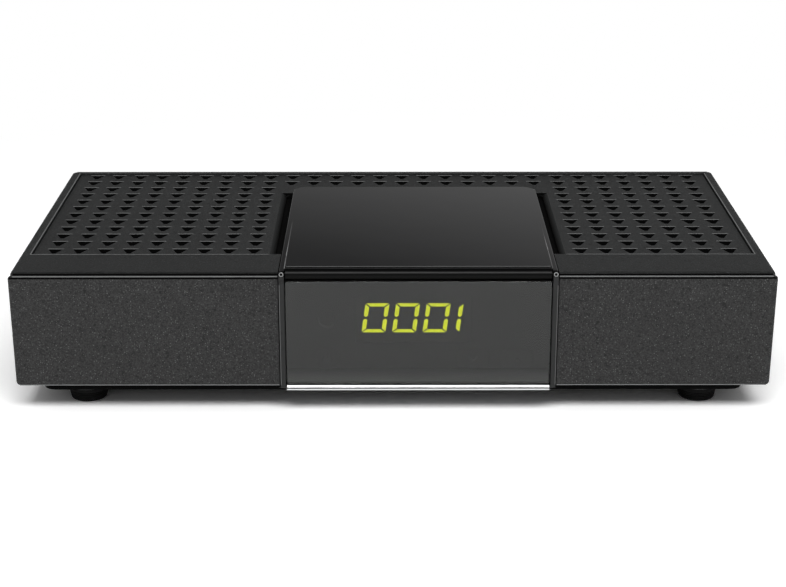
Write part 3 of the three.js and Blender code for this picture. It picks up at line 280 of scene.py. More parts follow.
def trough_shaded_abs(tree, spot):
    """ABS on the sloping side of each trough, with its shade painted in: black at the foot of the
    slope, passing up to a grey twice the cover's at its top."""
    s = bpy.context.scene.receiver_housing
    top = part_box("vent_grille")[1].z
    level = add(tree, "SeparateXYZ", {"Vector": spot}).outputs["Z"]
    painted_fade = add(tree, "MapRange", {"Value": level, "From Min": top - 0.8 * MM, "From Max": top})
    # Painted shade: darker towards the foot of the trough, where shade falls beside the trim.
    base = add(tree, "Mix", (painted_fade, linear("#020202"), scaled(s.cover_colour, 2)), data_type="RGBA")
    grain = add(tree, "TexNoise", (spot, 1 / s.cover_grain, 3))
    rough = add(tree, "MapRange", {"Value": grain, "To Min": 0.6, "To Max": 0.8})
    return relieved(tree, base, rough, grain, 0.04 * MM, 0.6, {"Specular IOR Level": 0.15})


def polished_abs(tree, spot):
    """ABS from a polished mould: mirror-smooth, with the faint ripple and fine dust it gathers."""
    shade = bpy.context.scene.receiver_housing.gloss_colour
    speck = 0.35 * MM
    specks = add(tree, "TexNoise", (spot, 1 / speck, 3, 0.7))
    dust = add(tree, "MapRange", {"Value": specks, "From Min": 0.66, "From Max": 0.78})
    base = add(tree, "Mix", (dust, shade, scaled(shade, 2.2)), data_type="RGBA")
    rough = add(tree, "MapRange", {"Value": dust, "To Min": 0.04, "To Max": 0.16})
    wave = add(tree, "TexNoise", (spot, 1 / (12 * MM), 1))
    return relieved(tree, base, rough, wave, 0.02 * MM, 0.3, {"IOR": 1.45})


def lacquered_abs(tree, spot):
    """ABS under soft-touch lacquer: very black, with one broad dull band of light along a curve."""
    shade = bpy.context.scene.receiver_housing.roll_colour
    mist = add(tree, "TexNoise", (spot, 1 / (0.5 * MM), 2))
    base = add(tree, "Mix", (mist, shade, scaled(shade, 1.8)), data_type="RGBA")
    rough = add(tree, "MapRange", {"Value": mist, "To Min": 0.3, "To Max": 0.36})
    return add(tree, "BsdfPrincipled", {
        "Base Color": base, "Roughness": rough, "Specular IOR Level": 0.11,
    })


def cast_smoked_acrylic(tree, spot):
    """Smoked cast acrylic: a dark, clear gloss, faintly clouded, that lets only lit things show."""
    shade = bpy.context.scene.receiver_flap.window_colour
    cloud = add(tree, "TexNoise", (spot, 1 / (14 * MM), 2))
    base = add(tree, "Mix", (cloud, shade, scaled(shade, 1.15)), data_type="RGBA")
    rough = add(tree, "MapRange", {"Value": cloud, "To Min": 0.02, "To Max": 0.05})
    return add(tree, "BsdfPrincipled", {
        "Base Color": base, "Roughness": rough, "IOR": 1.49, "Transmission Weight": 0.94,
    })


PARTING_RISE = 0.8
PARTING_HALF = 0.25


def electroplated_abs(tree, spot):
    """Chrome plated on ABS: a bright mirror with a faint ripple and one dark parting line, drawn
    wide so that it shows."""
    shade = bpy.context.scene.receiver_flap.chrome_colour
    wave = add(tree, "TexNoise", (spot, 1 / (6 * MM), 2))
    plate = add(tree, "Mix", (wave, scaled(shade, 0.94), shade), data_type="RGBA")
    level = add(tree, "SeparateXYZ", {"Vector": spot}).outputs["Z"]
    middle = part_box("chrome_strip")[0].z + PARTING_RISE * MM
    line = add(tree, "Math", (level, middle, PARTING_HALF * MM), operation="COMPARE")
    base = add(tree, "Mix", (line, plate, linear("#2a2c2c")), data_type="RGBA")
    smear = add(tree, "TexNoise", (spot, 1 / (1.5 * MM), 3))
    rough = add(tree, "MapRange", {"Value": smear, "To Min": 0.06, "To Max": 0.14})
    return relieved(tree, base, rough, wave, 0.01 * MM, 0.4, {"Metallic": 1})


def moulded_rubber(tree, spot):
    """Moulded rubber: dead matt and black, with a bloom of dust on its rim."""
    shade = bpy.context.scene.receiver_housing.rubber_colour
    level = add(tree, "SeparateXYZ", {"Vector": spot}).outputs["Z"]
    near = add(tree, "MapRange", {"Value": level, "From Max": 2 * MM, "To Min": 0.35, "To Max": 0})
    fleck = add(tree, "TexNoise", (spot, 1 / (1.2 * MM), 4))
    bloom = add(tree, "Math", (near, fleck), operation="MULTIPLY")
    base = add(tree, "Mix", (bloom, shade, scaled(shade, 6)), data_type="RGBA")
    skin = add(tree, "TexNoise", (spot, 1 / (0.3 * MM), 3))
    rough = add(tree, "MapRange", {"Value": skin, "To Min": 0.7, "To Max": 0.95})
    return relieved(tree, base, rough, skin, 0.03 * MM, 0.6, {"Specular IOR Level": 0.25})


def plated(tree, spot, code, roughness, brush):
    """Plated metal: fine scratches along X and slow changes of tone."""
    shade = linear(code)
    stretched = add(tree, "Mapping", {"Vector": spot, "Scale": (1, 14, 14)})
    scratch = add(tree, "TexNoise", (stretched, 1 / brush, 3))
    bloom = add(tree, "TexNoise", (spot, 1 / (7 * MM), 3))
    base = add(tree, "Mix", (bloom, scaled(shade, 0.78), scaled(shade, 1.08)), data_type="RGBA")
    rough = add(tree, "MapRange", (scratch, 0.3, 0.7, roughness - 0.08, roughness + 0.12))
    return relieved(tree, base, rough, scratch, 0.01 * MM, 0.4, {"Metallic": 1})


def tinned_steel(tree, spot):
    """Tin-plated sheet steel: pale grey and slightly crystalline."""
    return plated(tree, spot, "#b4b7b8", roughness=0.34, brush=6 * MM)


def satin_chrome(tree, spot):
    """Chrome over a satin mould: a broad soft glare along the strip's sloping edge."""
    return plated(tree, spot, "#f4f5f5", roughness=0.42, brush=3 * MM)


def nickelled_brass(tree, spot):
    """Turned brass under nickel: a warm white metal with fine tool marks."""
    return plated(tree, spot, "#cfccc4", roughness=0.2, brush=4 * MM)


def gilt_bronze(tree, spot):
    """Spring bronze with flash gold: small warm glints inside the sockets."""
    return plated(tree, spot, "#d8b25c", roughness=0.22, brush=3 * MM)


def blackened_steel(tree, spot):
    """Steel under black oxide: dark, dull metal."""
    return plated(tree, spot, "#2b2c2e", roughness=0.42, brush=2 * MM)


def anodised_aluminium(tree, spot):
    """Extruded aluminium, anodised grey: dull, with lines along the extrusion."""
    return plated(tree, spot, "#6d7276", roughness=0.45, brush=9 * MM)


def solder_masked_laminate(tree, spot):
    """Glass laminate under green solder mask: pale tracks, bright tinned pads, dark between."""
    tracks = add(tree, "TexBrick", {
        "Vector": spot, "Scale": 1 / (9 * MM), "Mortar Size": 0.045,
        "Color1": linear("#164b2e"), "Color2": linear("#1a5836"), "Mortar": linear("#2f7a4b"),
    })
    pads = add(tree, "TexVoronoi", {"Vector": spot, "Scale": 1 / (3.4 * MM)})
    pad = add(tree, "MapRange", (pads, 0.14, 0.17, 1, 0))
    base = add(tree, "Mix", (pad, tracks, linear("#c2c4bd")), data_type="RGBA")
    metal = add(tree, "Math", (pad, 0.85), operation="MULTIPLY")
    weave = add(tree, "TexNoise", (spot, 1 / (2 * MM), 3))
    rough = add(tree, "MapRange", {"Value": weave, "To Min": 0.3, "To Max": 0.5})
    return relieved(tree, base, rough, tracks.outputs["Fac"], 0.04 * MM, 0.5, {"Metallic": metal})


def uneven(tree, spot, shade, grain, roughness, gloss=0.5):
    """Small moulded, cut or printed surface: its own colour, finely uneven."""
    cloud = add(tree, "TexNoise", (spot, 1 / grain, 3))
    base = add(tree, "Mix", (cloud, scaled(shade, 0.8), scaled(shade, 1.15)), data_type="RGBA")
    fine = add(tree, "TexNoise", (spot, 3 / grain, 3))
    rough = add(tree, "MapRange", {
        "Value": fine, "To Min": roughness - 0.08, "To Max": roughness + 0.08,
    })
    return relieved(tree, base, rough, fine, 0.01 * MM, 0.5, {"Specular IOR Level": gloss})


def painted_shade_abs(tree, spot):
    """Near-black ABS painted where shade falls, in holes, seams and gaps: dead matt with fine drag
    marks, so that it looks black."""
    return uneven(tree, spot, linear("#020202"), grain=0.5 * MM, roughness=0.9, gloss=0.1)


def painted_highlight_abs(tree, spot):
    """ABS painted pale along an edge: a thin pale line, a painted highlight where the edge catches
    the light.
    """
    return uneven(tree, spot, linear("#6e6f6f"), grain=0.7 * MM, roughness=0.3)


def moulded_epoxy(tree, spot):
    """Epoxy moulded round a chip: charcoal and finely sanded."""
    return uneven(tree, spot, linear("#1b1c1e"), grain=0.5 * MM, roughness=0.6)


def pressed_ferrite(tree, spot):
    """Pressed ferrite of a choke: dark grey and chalky."""
    return uneven(tree, spot, linear("#2c2b2b"), grain=0.8 * MM, roughness=0.7)


def moulded_nylon(tree, spot):
    """Moulded nylon of a plug: ivory and waxy."""
    return uneven(tree, spot, linear("#d2cbb6"), grain=3 * MM, roughness=0.5)


def glass_filled_nylon(tree, spot):
    """Glass-filled nylon of an insulator: off-white with a fine grain."""
    return uneven(tree, spot, linear("#cfcabc"), grain=0.5 * MM, roughness=0.5)


def cast_display_epoxy(tree, spot):
    """Cast epoxy face of a digit module: very dark grey, flat and fine-grained."""
    return uneven(tree, spot, linear("#101110"), grain=0.6 * MM, roughness=0.45)


def pad_printed_ink(tree, spot):
    """Pad-printed ink: flat pale grey."""
    return uneven(tree, spot, linear("#8f9191"), grain=0.25 * MM, roughness=0.55)


def unlit_light_pipe(tree, spot):
    """Moulded light pipe with its lamp off: grey resin, hardly lighter than the face round it."""
    shade = bpy.context.scene.receiver_display.unlit_colour
    return uneven(tree, spot, shade, grain=0.6 * MM, roughness=0.4)


def lit_light_pipe(tree, spot):
    """Moulded light pipe with its lamp on: an even glow, a touch uneven along each bar."""
    s = bpy.context.scene.receiver_display
    cloud = add(tree, "TexNoise", (spot, 1 / (0.9 * MM), 2))
    glow = add(tree, "MapRange", (cloud, 0.3, 0.7, 0.85 * s.glow, 1.1 * s.glow))
    colours = (cloud, scaled(s.lit_colour, 0.3), scaled(s.lit_colour, 0.4))
    base = add(tree, "Mix", colours, data_type="RGBA")
    return add(tree, "BsdfPrincipled", {
        "Base Color": base, "Roughness": 0.4,
        "Emission Color": s.lit_colour, "Emission Strength": glow,
    })


BORDER = 4.4


def ink_and_painted_reflection(tree, spot):
    """Ink screened on the back of the window, black at its top; its foot is painted grey as a
    reflection, so that the window grows a little paler downwards."""
    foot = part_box("display_window")[0].z
    level = add(tree, "SeparateXYZ", {"Vector": spot}).outputs["Z"]
    painted_fade = add(tree, "MapRange", (level, foot, foot + BORDER * MM, 1, 0))
    # Painted reflection: the ink passes from black to grey towards the window's foot.
    base = add(tree, "Mix", (painted_fade, linear("#1e1f1e"), linear("#a4a6a4")), data_type="RGBA")
    mesh = add(tree, "TexNoise", (spot, 1 / (0.3 * MM), 2))
    rough = add(tree, "MapRange", {"Value": mesh, "To Min": 0.5, "To Max": 0.65})
    return add(tree, "BsdfPrincipled", {"Base Color": base, "Roughness": rough})


def shrunk_sleeve(tree, spot):
    """Heat-shrunk sleeve of a capacitor: smooth dark film with a pale stripe down one side."""
    swing = add(tree, "TexWave", {"Vector": spot, "Scale": 1 / (24 * MM)}).outputs["Fac"]
    stripe = add(tree, "MapRange", {"Value": swing, "From Min": 0.93, "From Max": 0.97})
    base = add(tree, "Mix", (stripe, linear("#15181f"), linear("#9fa3a6")), data_type="RGBA")
    film = add(tree, "TexNoise", (spot, 1 / (2 * MM), 2))
    rough = add(tree, "MapRange", {"Value": film, "To Min": 0.3, "To Max": 0.42})
    return add(tree, "BsdfPrincipled", {"Base Color": base, "Roughness": rough, "Coat Weight": 0.3})


def laminated_ribbon(tree, spot):
    """Flat conductors laminated in white film: low ridges at 1 mm pitch."""
    across = add(tree, "TexWave", {"Vector": spot, "Scale": 1 / (3.18 * MM)}).outputs["Fac"]
    base = add(tree, "Mix", (across, linear("#c9cac4"), linear("#e6e7e2")), data_type="RGBA")
    film = add(tree, "TexNoise", (spot, 1 / (2 * MM), 2))
    rough = add(tree, "MapRange", {"Value": film, "To Min": 0.45, "To Max": 0.6})
    return relieved(tree, base, rough, across, 0.08 * MM, 0.6)


def tinted_resin(tree, spot):
    """Cast resin lens of the remote sensor: nearly black, violet where light comes through."""
    cloud = add(tree, "TexNoise", (spot, 1 / (1.5 * MM), 2))
    base = add(tree, "Mix", (cloud, linear("#120a10"), linear("#24101c")), data_type="RGBA")
    return add(tree, "BsdfPrincipled", {"Base Color": base, "Roughness": 0.12, "Coat Weight": 0.5})


def coated_paper(tree, spot):
    """Coated paper: white wherever it is seen or mirrored in the light, dark in the shadow."""
    s = bpy.context.scene.receiver_studio
    seen = (*[c * s.floor_gain for c in s.floor_colour[:3]], 1.0)
    tone = by_ray(tree, scaled(s.floor_colour, 0.8), s.floor_colour, seen, "RGBA")
    near = add(tree, "BsdfDiffuse", {"Color": tone})
    far = add(tree, "Emission", {"Color": s.floor_colour})
    reach = add(tree, "VectorMath", (spot,), operation="LENGTH")
    apart = add(tree, "MapRange", {
        "Value": reach, "From Min": s.floor_near, "From Max": 2 * s.floor_near,
    })
    camera = add(tree, "LightPath").outputs["Is Camera Ray"]
    share = add(tree, "Math", (apart, camera), operation="MULTIPLY")
    return add(tree, "MixShader", (share, near, far))


# Meshes


UP = Vector((0, 0, 1))
FRONT = Vector((0, -1, 0))


def dress(node, make):
    """Gives a CAD node that stays its finish."""
    frame["nodes"][node].material_slots[0].material = finish(make)


def piece(name, shape, make, body, smooth=35):
    """Object from a mesh drawn in metres, smooth below an angle, riding on a body."""
    bmesh.ops.recalc_face_normals(shape, faces=shape.faces)
    mesh = bpy.data.meshes.new(name)
    shape.to_mesh(mesh)
    shape.free()
    packed = mesh.attributes.get("custom_normal")
    if packed:
        mesh.attributes.remove(packed)
    mesh.shade_smooth()
    mesh.set_sharp_from_angle(angle=radians(smooth))
    made = bpy.data.objects.new(name, mesh)
    bpy.context.scene.collection.objects.link(made)
    mesh.materials.append(finish(make))
    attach(made, body)
    return made


def stand_in(name, shape, make, node, smooth=35):
    """Piece that replaces a CAD node."""
    made = piece(name, shape, make, frame["nodes"][node]["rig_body"], smooth)
    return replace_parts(made, node)


def rounded(node, make, width):
    """Replaces a CAD node by its own shape with every sharp edge broken by a small radius."""
    shape = bmesh.new()
    shape.from_mesh(frame["nodes"][node].data)
    bmesh.ops.remove_doubles(shape, verts=shape.verts, dist=1e-6)
    flat = radians(0.4)
    bmesh.ops.dissolve_limit(shape, angle_limit=flat, verts=shape.verts, edges=shape.edges)
    made = stand_in(f"{node}_finished", shape, make, node)
    edge = made.modifiers.new("edge", "BEVEL")
    edge.width = width
    edge.segments = 3
    edge.limit_method = "ANGLE"
    edge.angle_limit = radians(40)
    edge.use_clamp_overlap = True
    shading = made.modifiers.new("shading", "WEIGHTED_NORMAL")
    shading.keep_sharp = True
    return made


def repaint(made, make, chosen):
    """Gives some faces of a piece another finish; chosen takes a face's normal and middle in mm."""
    made.data.materials.append(finish(make))
    for face in made.data.polygons:
        if chosen(face.normal, face.center / MM):
            face.material_index = len(made.data.materials) - 1


LIP_SECTION = [
    (-0.12, -1), (-0.12, -0.1), (0.1, 0.14), (0.45, 0.22), (0.8, 0.14), (1, -0.1), (0.6, -1),
]
LIP_MIDDLE = 0.45


def edge_lines(name, lines, up, width):
    """Fine rounded lips along straight edges, in mm, painted pale as highlights where the edge
    catches the light.
    """
    shape = bmesh.new()
    for start, end in lines:
        start, end = Vector(start), Vector(end)
        across = (end - start).normalized().cross(up)
        ends = []
        for spot in (start, end):
            ends.append([
                (spot + across * ((u - LIP_MIDDLE) * width) + up * (v * width)) * MM
                for u, v in LIP_SECTION
            ])
        join(shape, ends)
    piece(name, shape, painted_highlight_abs, "housing", smooth=60)


def join(shape, rings):
    """Joins outlines of as many points in metres, one after another, and closes both ends."""
    rings = [[shape.verts.new(spot) for spot in ring] for ring in rings]
    for near, far in zip(rings, rings[1:]):
        for i in range(len(near)):
            shape.faces.new([near[i - 1], near[i], far[i], far[i - 1]])
    shape.faces.new(rings[0][::-1])
    shape.faces.new(rings[-1])


def slab(shape, outline, low, high, lay):
    """Adds a flat outline in mm, given some thickness, to a mesh."""
    levels = (low, high)
    join(shape, [[lay @ (Vector((x, y, level)) * MM) for x, y in outline] for level in levels])


def lathe(profile, steps, turn):
    """Turned mesh about Z from [radius, height] points in mm; turn carries it to its place."""
    shape = bmesh.new()
    spokes = [(cos(2 * pi * i / steps), sin(2 * pi * i / steps)) for i in range(steps)]
    rings = []
    for radius, height in profile:
        around = [(0, 0)] if radius < 1e-6 else [(radius * c, radius * s) for c, s in spokes]
        rings.append([shape.verts.new((x * MM, y * MM, height * MM)) for x, y in around])
    for low, high in zip(rings, rings[1:]):
        for i in range(steps):
            j = (i + 1) % steps
            corners = [
                low[i % len(low)], low[j % len(low)], high[j % len(high)], high[i % len(high)],
            ]
            unique = list(dict.fromkeys(corners))
            if len(unique) > 2:
                shape.faces.new(unique)
    shape.transform(turn)
    return shape


def at(x, y, z, along="+Z"):
    """Matrix to a place in mm, with the shape's own Z laid along an axis."""
    turns = {
        "+Z": Matrix.Identity(4),
        "+Y": Matrix.Rotation(-pi / 2, 4, "X"),
        "-Y": Matrix.Rotation(pi / 2, 4, "X"),
    }
    return Matrix.Translation((x * MM, y * MM, z * MM)) @ turns[along]


def arc(radius, start, end, steps):
    """Points in mm along an arc about the middle, angles in degrees."""
    turns = [radians(start + (end - start) * i / steps) for i in range(steps + 1)]
    return [(radius * cos(t), radius * sin(t)) for t in turns]


def bar(x, y, half_x, half_y):
    """Corners in mm of an upright rectangle about a point."""
    left, right, low, high = x - half_x, x + half_x, y - half_y, y + half_y
    return [(left, low), (right, low), (right, high), (left, high)]


def box_of(node):
    """Low corner, high corner and middle of a CAD node's box, in mm."""
    low, high = (Vector(corner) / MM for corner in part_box(node))
    return low, high, (low + high) / 2


# Pieces


class RECEIVER_OT_camera(bpy.types.Operator):
    """Sets the camera to the photograph's view"""

    bl_idname = "receiver.camera"
    bl_label = "Camera"

    def execute(self, context):
        s = context.scene.receiver_studio
        data = bpy.data.cameras.new("camera")
        data.sensor_width = 36
        data.lens = s.lens
        data.clip_start = 0.01
        camera = bpy.data.objects.new("camera", data)
        camera.location = s.camera_place
        camera.rotation_euler = (pi / 2 - s.camera_tilt, 0, s.camera_turn)
        context.scene.collection.objects.link(camera)
        context.scene.camera = camera
        return {"FINISHED"}


FLOOR_HALF = 6
LAMP_RIGHT = 0.1
LAMP_AIM = Vector((0, 0, 0.02))
WALL_REACH = 0.1
WALL_SHADE = 0.34
CEILING_TILT = -0.22
CEILING_START = 0.255
CEILING_END = 0.32
SKY_REACH = 0.7
SKY_FOOT = 0.3


class RECEIVER_OT_studio(bpy.types.Operator):
    """Makes the pale floor, the lamp and the surroundings"""

    bl_idname = "receiver.studio"
    bl_label = "Studio"

    def execute(self, context):
        s = context.scene.receiver_studio
        context.scene.view_settings.view_transform = "Standard"
        shape = bmesh.new()
        bmesh.ops.create_grid(shape, x_segments=8, y_segments=8, size=FLOOR_HALF)
        mesh = bpy.data.meshes.new("floor")
        shape.to_mesh(mesh)
        shape.free()
        floor = bpy.data.objects.new("floor", mesh)
        context.scene.collection.objects.link(floor)
        mesh.materials.append(finish(coated_paper))
        self.lamp(context, s)
        self.sky(context, s)
        return {"FINISHED"}

    def lamp(self, context, s):
        data = bpy.data.lights.new("key", "AREA")
        data.shape = "RECTANGLE"
        data.size = s.key_width
        data.size_y = s.key_height
        data.energy = s.key
        lamp = bpy.data.objects.new("key", data)
        away, rise = s.key_distance * cos(s.key_rise), s.key_distance * sin(s.key_rise)
        lamp.location = (LAMP_RIGHT, -away, rise)
        lamp.rotation_euler = (LAMP_AIM - lamp.location).to_track_quat("-Z", "Y").to_euler()
        context.scene.collection.objects.link(lamp)

    def sky(self, context, s):
        """White surroundings: mirrors see bright walls low down and a dim ceiling, and the light
        that falls on the object comes mostly from above."""
        world = bpy.data.worlds.new("surroundings")
        context.scene.world = world
        world.use_nodes = True
        tree = world.node_tree
        tree.nodes.clear()
        parts = add(tree, "SeparateXYZ", (add(tree, "TexCoord").outputs["Generated"],)).outputs
        tilted = (parts["X"], CEILING_TILT, parts["Z"])
        slope = add(tree, "Math", tilted, operation="MULTIPLY_ADD")
        wall = add(tree, "MapRange", (parts["Z"], 0, WALL_REACH, 1, WALL_SHADE))
        ceiling = add(tree, "MapRange", (slope, CEILING_START, CEILING_END, 1, s.ceiling))
        mirrored = add(tree, "Math", (wall, ceiling), operation="MULTIPLY")
        light = add(tree, "MapRange", (parts["Z"], 0, SKY_REACH, SKY_FOOT * s.ambient, s.ambient))
        strength = by_ray(tree, light, mirrored, 1, "FLOAT")
        glow = add(tree, "Background", {"Color": s.floor_colour, "Strength": strength})
        add(tree, "OutputWorld", {"Surface": glow})


SIDE_INSET = 1.4
SIDE_GAP = 0.4
TOP_LINE_BACK = 0.35
LOW_LINE_RISE = 0.3
REAR_LINE_FRONT = 0.7
REAR_LINE_INSET = 2
SEAM_DEPTH = 1
TRAY_LIP = 1.7
BED_BELOW = 1
BED_ABOVE = 0.5


class RECEIVER_OT_housing(bpy.types.Operator):
    """Finishes the fascia, the cover, the tray and the rear panel"""

    bl_idname = "receiver.housing"
    bl_label = "Housing"

    def execute(self, context):
        s = context.scene.receiver_housing
        low, high, _ = box_of("fascia")
        trim_low, trim_high, _ = box_of("centre_trim")
        cover_low, cover_high, _ = box_of("top_cover")
        seam = cover_low.y + SEAM_DEPTH
        lip = box_of("bottom_tray")[0].y + TRAY_LIP
        bed = box_of("vent_grille")[0].z
        under, over = bed - BED_BELOW, bed + BED_ABOVE
        fascia = rounded("fascia", spark_eroded_abs, s.edge_break)
        # Painted shade: the lower round of the fascia's top edge, as a dark line under its
        # highlight.
        repaint(fascia, painted_shade_abs, lambda way, spot: way.y < -0.5 and 0.2 < way.z < 0.8)
        cover = rounded("top_cover", etched_abs, s.edge_break)
        # Painted shade: the seam under the cover's front edge, its inner side walls and the floor of
        # the grille's recess.
        repaint(cover, painted_shade_abs, lambda way, spot: way.y < -0.9 and spot.y < seam)
        repaint(cover, painted_shade_abs, lambda way, spot: abs(way.x) > 0.5 and abs(spot.x) < high.x / 2)
        repaint(cover, painted_shade_abs, lambda way, spot: way.z > 0.9 and under < spot.z < over)
        tray = rounded("bottom_tray", etched_abs, s.edge_break)
        # Painted shade: the tray's front, in the shadow under the fascia.
        repaint(tray, painted_shade_abs, lambda way, spot: way.y < -0.2 and spot.y < lip)
        rounded("rear_panel", etched_abs, s.edge_break)
        # Painted highlights: pale lips along the fascia's top, the cover's rear and the fascia's
        # foot.
        sides = (
            (low.x + SIDE_INSET, trim_low.x - SIDE_GAP),
            (trim_high.x + SIDE_GAP, high.x - SIDE_INSET),
        )
        y = low.y + TOP_LINE_BACK
        along = [((a, y, high.z), (b, y, high.z)) for a, b in sides]
        edge_lines("top_edge_lines", along, UP, width=0.4)
        y, z = cover_high.y - REAR_LINE_FRONT, cover_high.z
        along = [((low.x + REAR_LINE_INSET, y, z), (high.x - REAR_LINE_INSET, y, z))]
        edge_lines("rear_edge_line", along, UP, width=0.5)
        z = low.z + LOW_LINE_RISE
        along = [((a, low.y, z), (b, low.y, z)) for a, b in sides]
        edge_lines("low_edge_lines", along, FRONT, width=0.2)
        return {"FINISHED"}


LONGEST_HOLE = 40
HOLE_REAR = 0.3
LIP_SHIFT = 0.1
TROUGH_WIDTH = 3.9
RECESS_GAP = 0.55


class RECEIVER_OT_grille(bpy.types.Operator):
    """Finishes the vent grille, with walls painted black as shade and a fine lip painted pale as a
    highlight behind every hole
    """

    bl_idname = "receiver.grille"
    bl_label = "Vent grille"

    def execute(self, context):
        s = context.scene.receiver_housing
        plate = bmesh.new()
        plate.from_mesh(frame["nodes"]["vent_grille"].data)
        bmesh.ops.remove_doubles(plate, verts=plate.verts, dist=1e-6)
        lips = []
        for loop in self.holes(plate, box_of("vent_grille")[1].z):
            rear = max(spot.y for spot in loop)
            ends = sorted(spot.x for spot in loop if spot.y > rear - HOLE_REAR)
            y, z = rear + LIP_SHIFT, loop[0].z
            lips.append(((ends[0], y, z), (ends[-1], y, z)))
        # Painted highlights: a pale lip behind the rear edge of every hole.
        edge_lines("vent_lips", lips, UP, width=s.vent_edge / MM)
        self.recess()
        made = stand_in("vent_grille_finished", plate, etched_abs, "vent_grille", smooth=20)
        # Painted shade: the walls of the holes in black, and the troughs' slopes darker towards
        # their foot.
        repaint(made, painted_shade_abs, lambda way, spot: abs(way.z) < 0.5)
        repaint(made, trough_shaded_abs, lambda way, spot: 0.5 < way.z < 0.95)
        return {"FINISHED"}

    def holes(self, plate, top):
        """Outlines in mm of the holes in the plate's top face."""
        beside = {}
        for edge in plate.edges:
            level = all(abs(vert.co.z / MM - top) < 0.01 for vert in edge.verts)
            if level and edge.calc_face_angle(0) > 1:
                one, other = edge.verts
                beside.setdefault(one, []).append(other)
                beside.setdefault(other, []).append(one)
        loops = []
        while beside:
            vert = next(iter(beside))
            loop = []
            while vert:
                loop.append(Vector(vert.co) / MM)
                ahead = beside.pop(vert)
                vert = next((other for other in ahead if other in beside), None)
            around = sum((a - b).length for a, b in zip(loop, loop[1:] + loop[:1]))
            if around < LONGEST_HOLE:
                loops.append(loop)
        return loops

    def recess(self):
        """Fine line of light on the cover along the edges of the recess that holds the grille."""
        top = box_of("top_cover")[1].z
        low, high, _ = box_of("vent_grille")
        side, front = high.x + RECESS_GAP, low.y - RECESS_GAP
        trim_low, trim_high, _ = box_of("centre_trim")
        lines = [
            ((-side, front, top), (trim_low.x - TROUGH_WIDTH, front, top)),
            ((trim_high.x + TROUGH_WIDTH, front, top), (side, front, top)),
            *[((x, front, top), (x, high.y, top)) for x in (-side, side)],
        ]
        edge_lines("recess_lines", lines, UP, width=0.3)


CHEEK_FACE = 2
CHEEK_TOP = 3
FRONT_LINE_BACK = 0.5
FRONT_LINE_INSET = 2
SIDE_LINE_INSET = 0.15
SIDE_LINE_FOOT = 1
SIDE_LINE_TOP = 4
LINE_INSET = 1.5
LINE_HALF = 0.16
LINE_START = 3.2
LINE_STEPS = 24
LINE_SUNK = 0.02
CAP_INSET = 0.75
CAP_LEAN = 35
CHEEK_ROUND = 2
RING_SECTION = [
    (0.42, -0.3), (0.66, -0.3), (0.66, 0.06), (0.6, 0.12), (0.46, 0.12), (0.42, 0.08), (0.42, -0.3),
]
CAP_SECTION = [(0, -0.3), (0.42, -0.3), (0.42, 0.02), (0.3, 0.08), (0, 0.09)]
# The ring is painted pale as a highlight, the cap black as shade.
CAP_PARTS = {"ring": (RING_SECTION, painted_highlight_abs), "cap": (CAP_SECTION, painted_shade_abs)}


class RECEIVER_OT_trim(bpy.types.Operator):
    """Finishes the gloss centre trim, with the fading line along each of its sides"""

    bl_idname = "receiver.trim"
    bl_label = "Centre trim"

    def execute(self, context):
        s = context.scene.receiver_housing
        low, high, _ = box_of("centre_trim")
        face, top = low.y + CHEEK_FACE, low.y + CHEEK_TOP
        trim = rounded("centre_trim", polished_abs, s.edge_break)
        repaint(trim, satin_abs, lambda way, spot: way.y < -0.9 and spot.y < face)
        # Painted shade: the trim's rear-facing faces, which hides the bright rim they would mirror,
        # and the round of each cheek.
        repaint(trim, painted_shade_abs, lambda way, spot: way.y > 0.2)
        repaint(trim, painted_shade_abs, lambda way, spot: way.y < -0.2 and way.z > 0.2 and spot.y < top)
        self.caps(low, high)
        # Painted highlights: pale lips along the trim's front edge and down the outer edges of its
        # cheeks.
        y = box_of("hinge_bar")[1].y + FRONT_LINE_BACK
        line = [((low.x + FRONT_LINE_INSET, y, high.z), (high.x - FRONT_LINE_INSET, y, high.z))]
        edge_lines("trim_front_line", line, UP, width=0.26)
        sides = (low.x + SIDE_LINE_INSET, high.x - SIDE_LINE_INSET)
        foot, end = low.z + SIDE_LINE_FOOT, high.z - SIDE_LINE_TOP
        edges = [((x, low.y, foot), (x, low.y, end)) for x in sides]
        edge_lines("trim_side_lines", edges, FRONT, width=0.12)
        for side, x in (("left", low.x + LINE_INSET), ("right", high.x - LINE_INSET)):
            shape = self.fading(x, low.y + LINE_START, high.z - LINE_SUNK, s)
            piece(f"trim_line_{side}", shape, polished_abs, "housing", smooth=20)
        return {"FINISHED"}

    def fading(self, x, front, base, s):
        """Fine ridge that runs back along the trim and sinks into it."""
        shape = bmesh.new()
        rows = []
        for i in range(LINE_STEPS + 1):
            share = i / LINE_STEPS
            y = front + share * s.line_fade / MM
            rise = s.line_height / MM * (1 - share) ** 0.7
            spots = ((x - LINE_HALF, base), (x, base + LINE_SUNK + rise), (x + LINE_HALF, base))
            rows.append([Vector((u, y, v)) * MM for u, v in spots])
        join(shape, rows)
        return shape

    def caps(self, low, high):
        """Cap painted black as shade, in a fine ring painted pale as a highlight, over each end of
        the hinge pin, on the round of the cheek.
        """
        lean = radians(CAP_LEAN)
        y = low.y + CHEEK_ROUND * (1 - cos(lean))
        z = high.z - CHEEK_ROUND * (1 - sin(lean))
        for side, x in (("left", low.x + CAP_INSET), ("right", high.x - CAP_INSET)):
            place = at(x, y, z) @ Matrix.Rotation(pi / 2 - lean, 4, "X")
            for part, (section, make) in CAP_PARTS.items():
                turned = lathe(section, steps=32, turn=place)
                piece(f"hinge_{part}_{side}", turned, make, "housing")


BORDER_RISE = 0.1
BORDER_INSET = 0.3


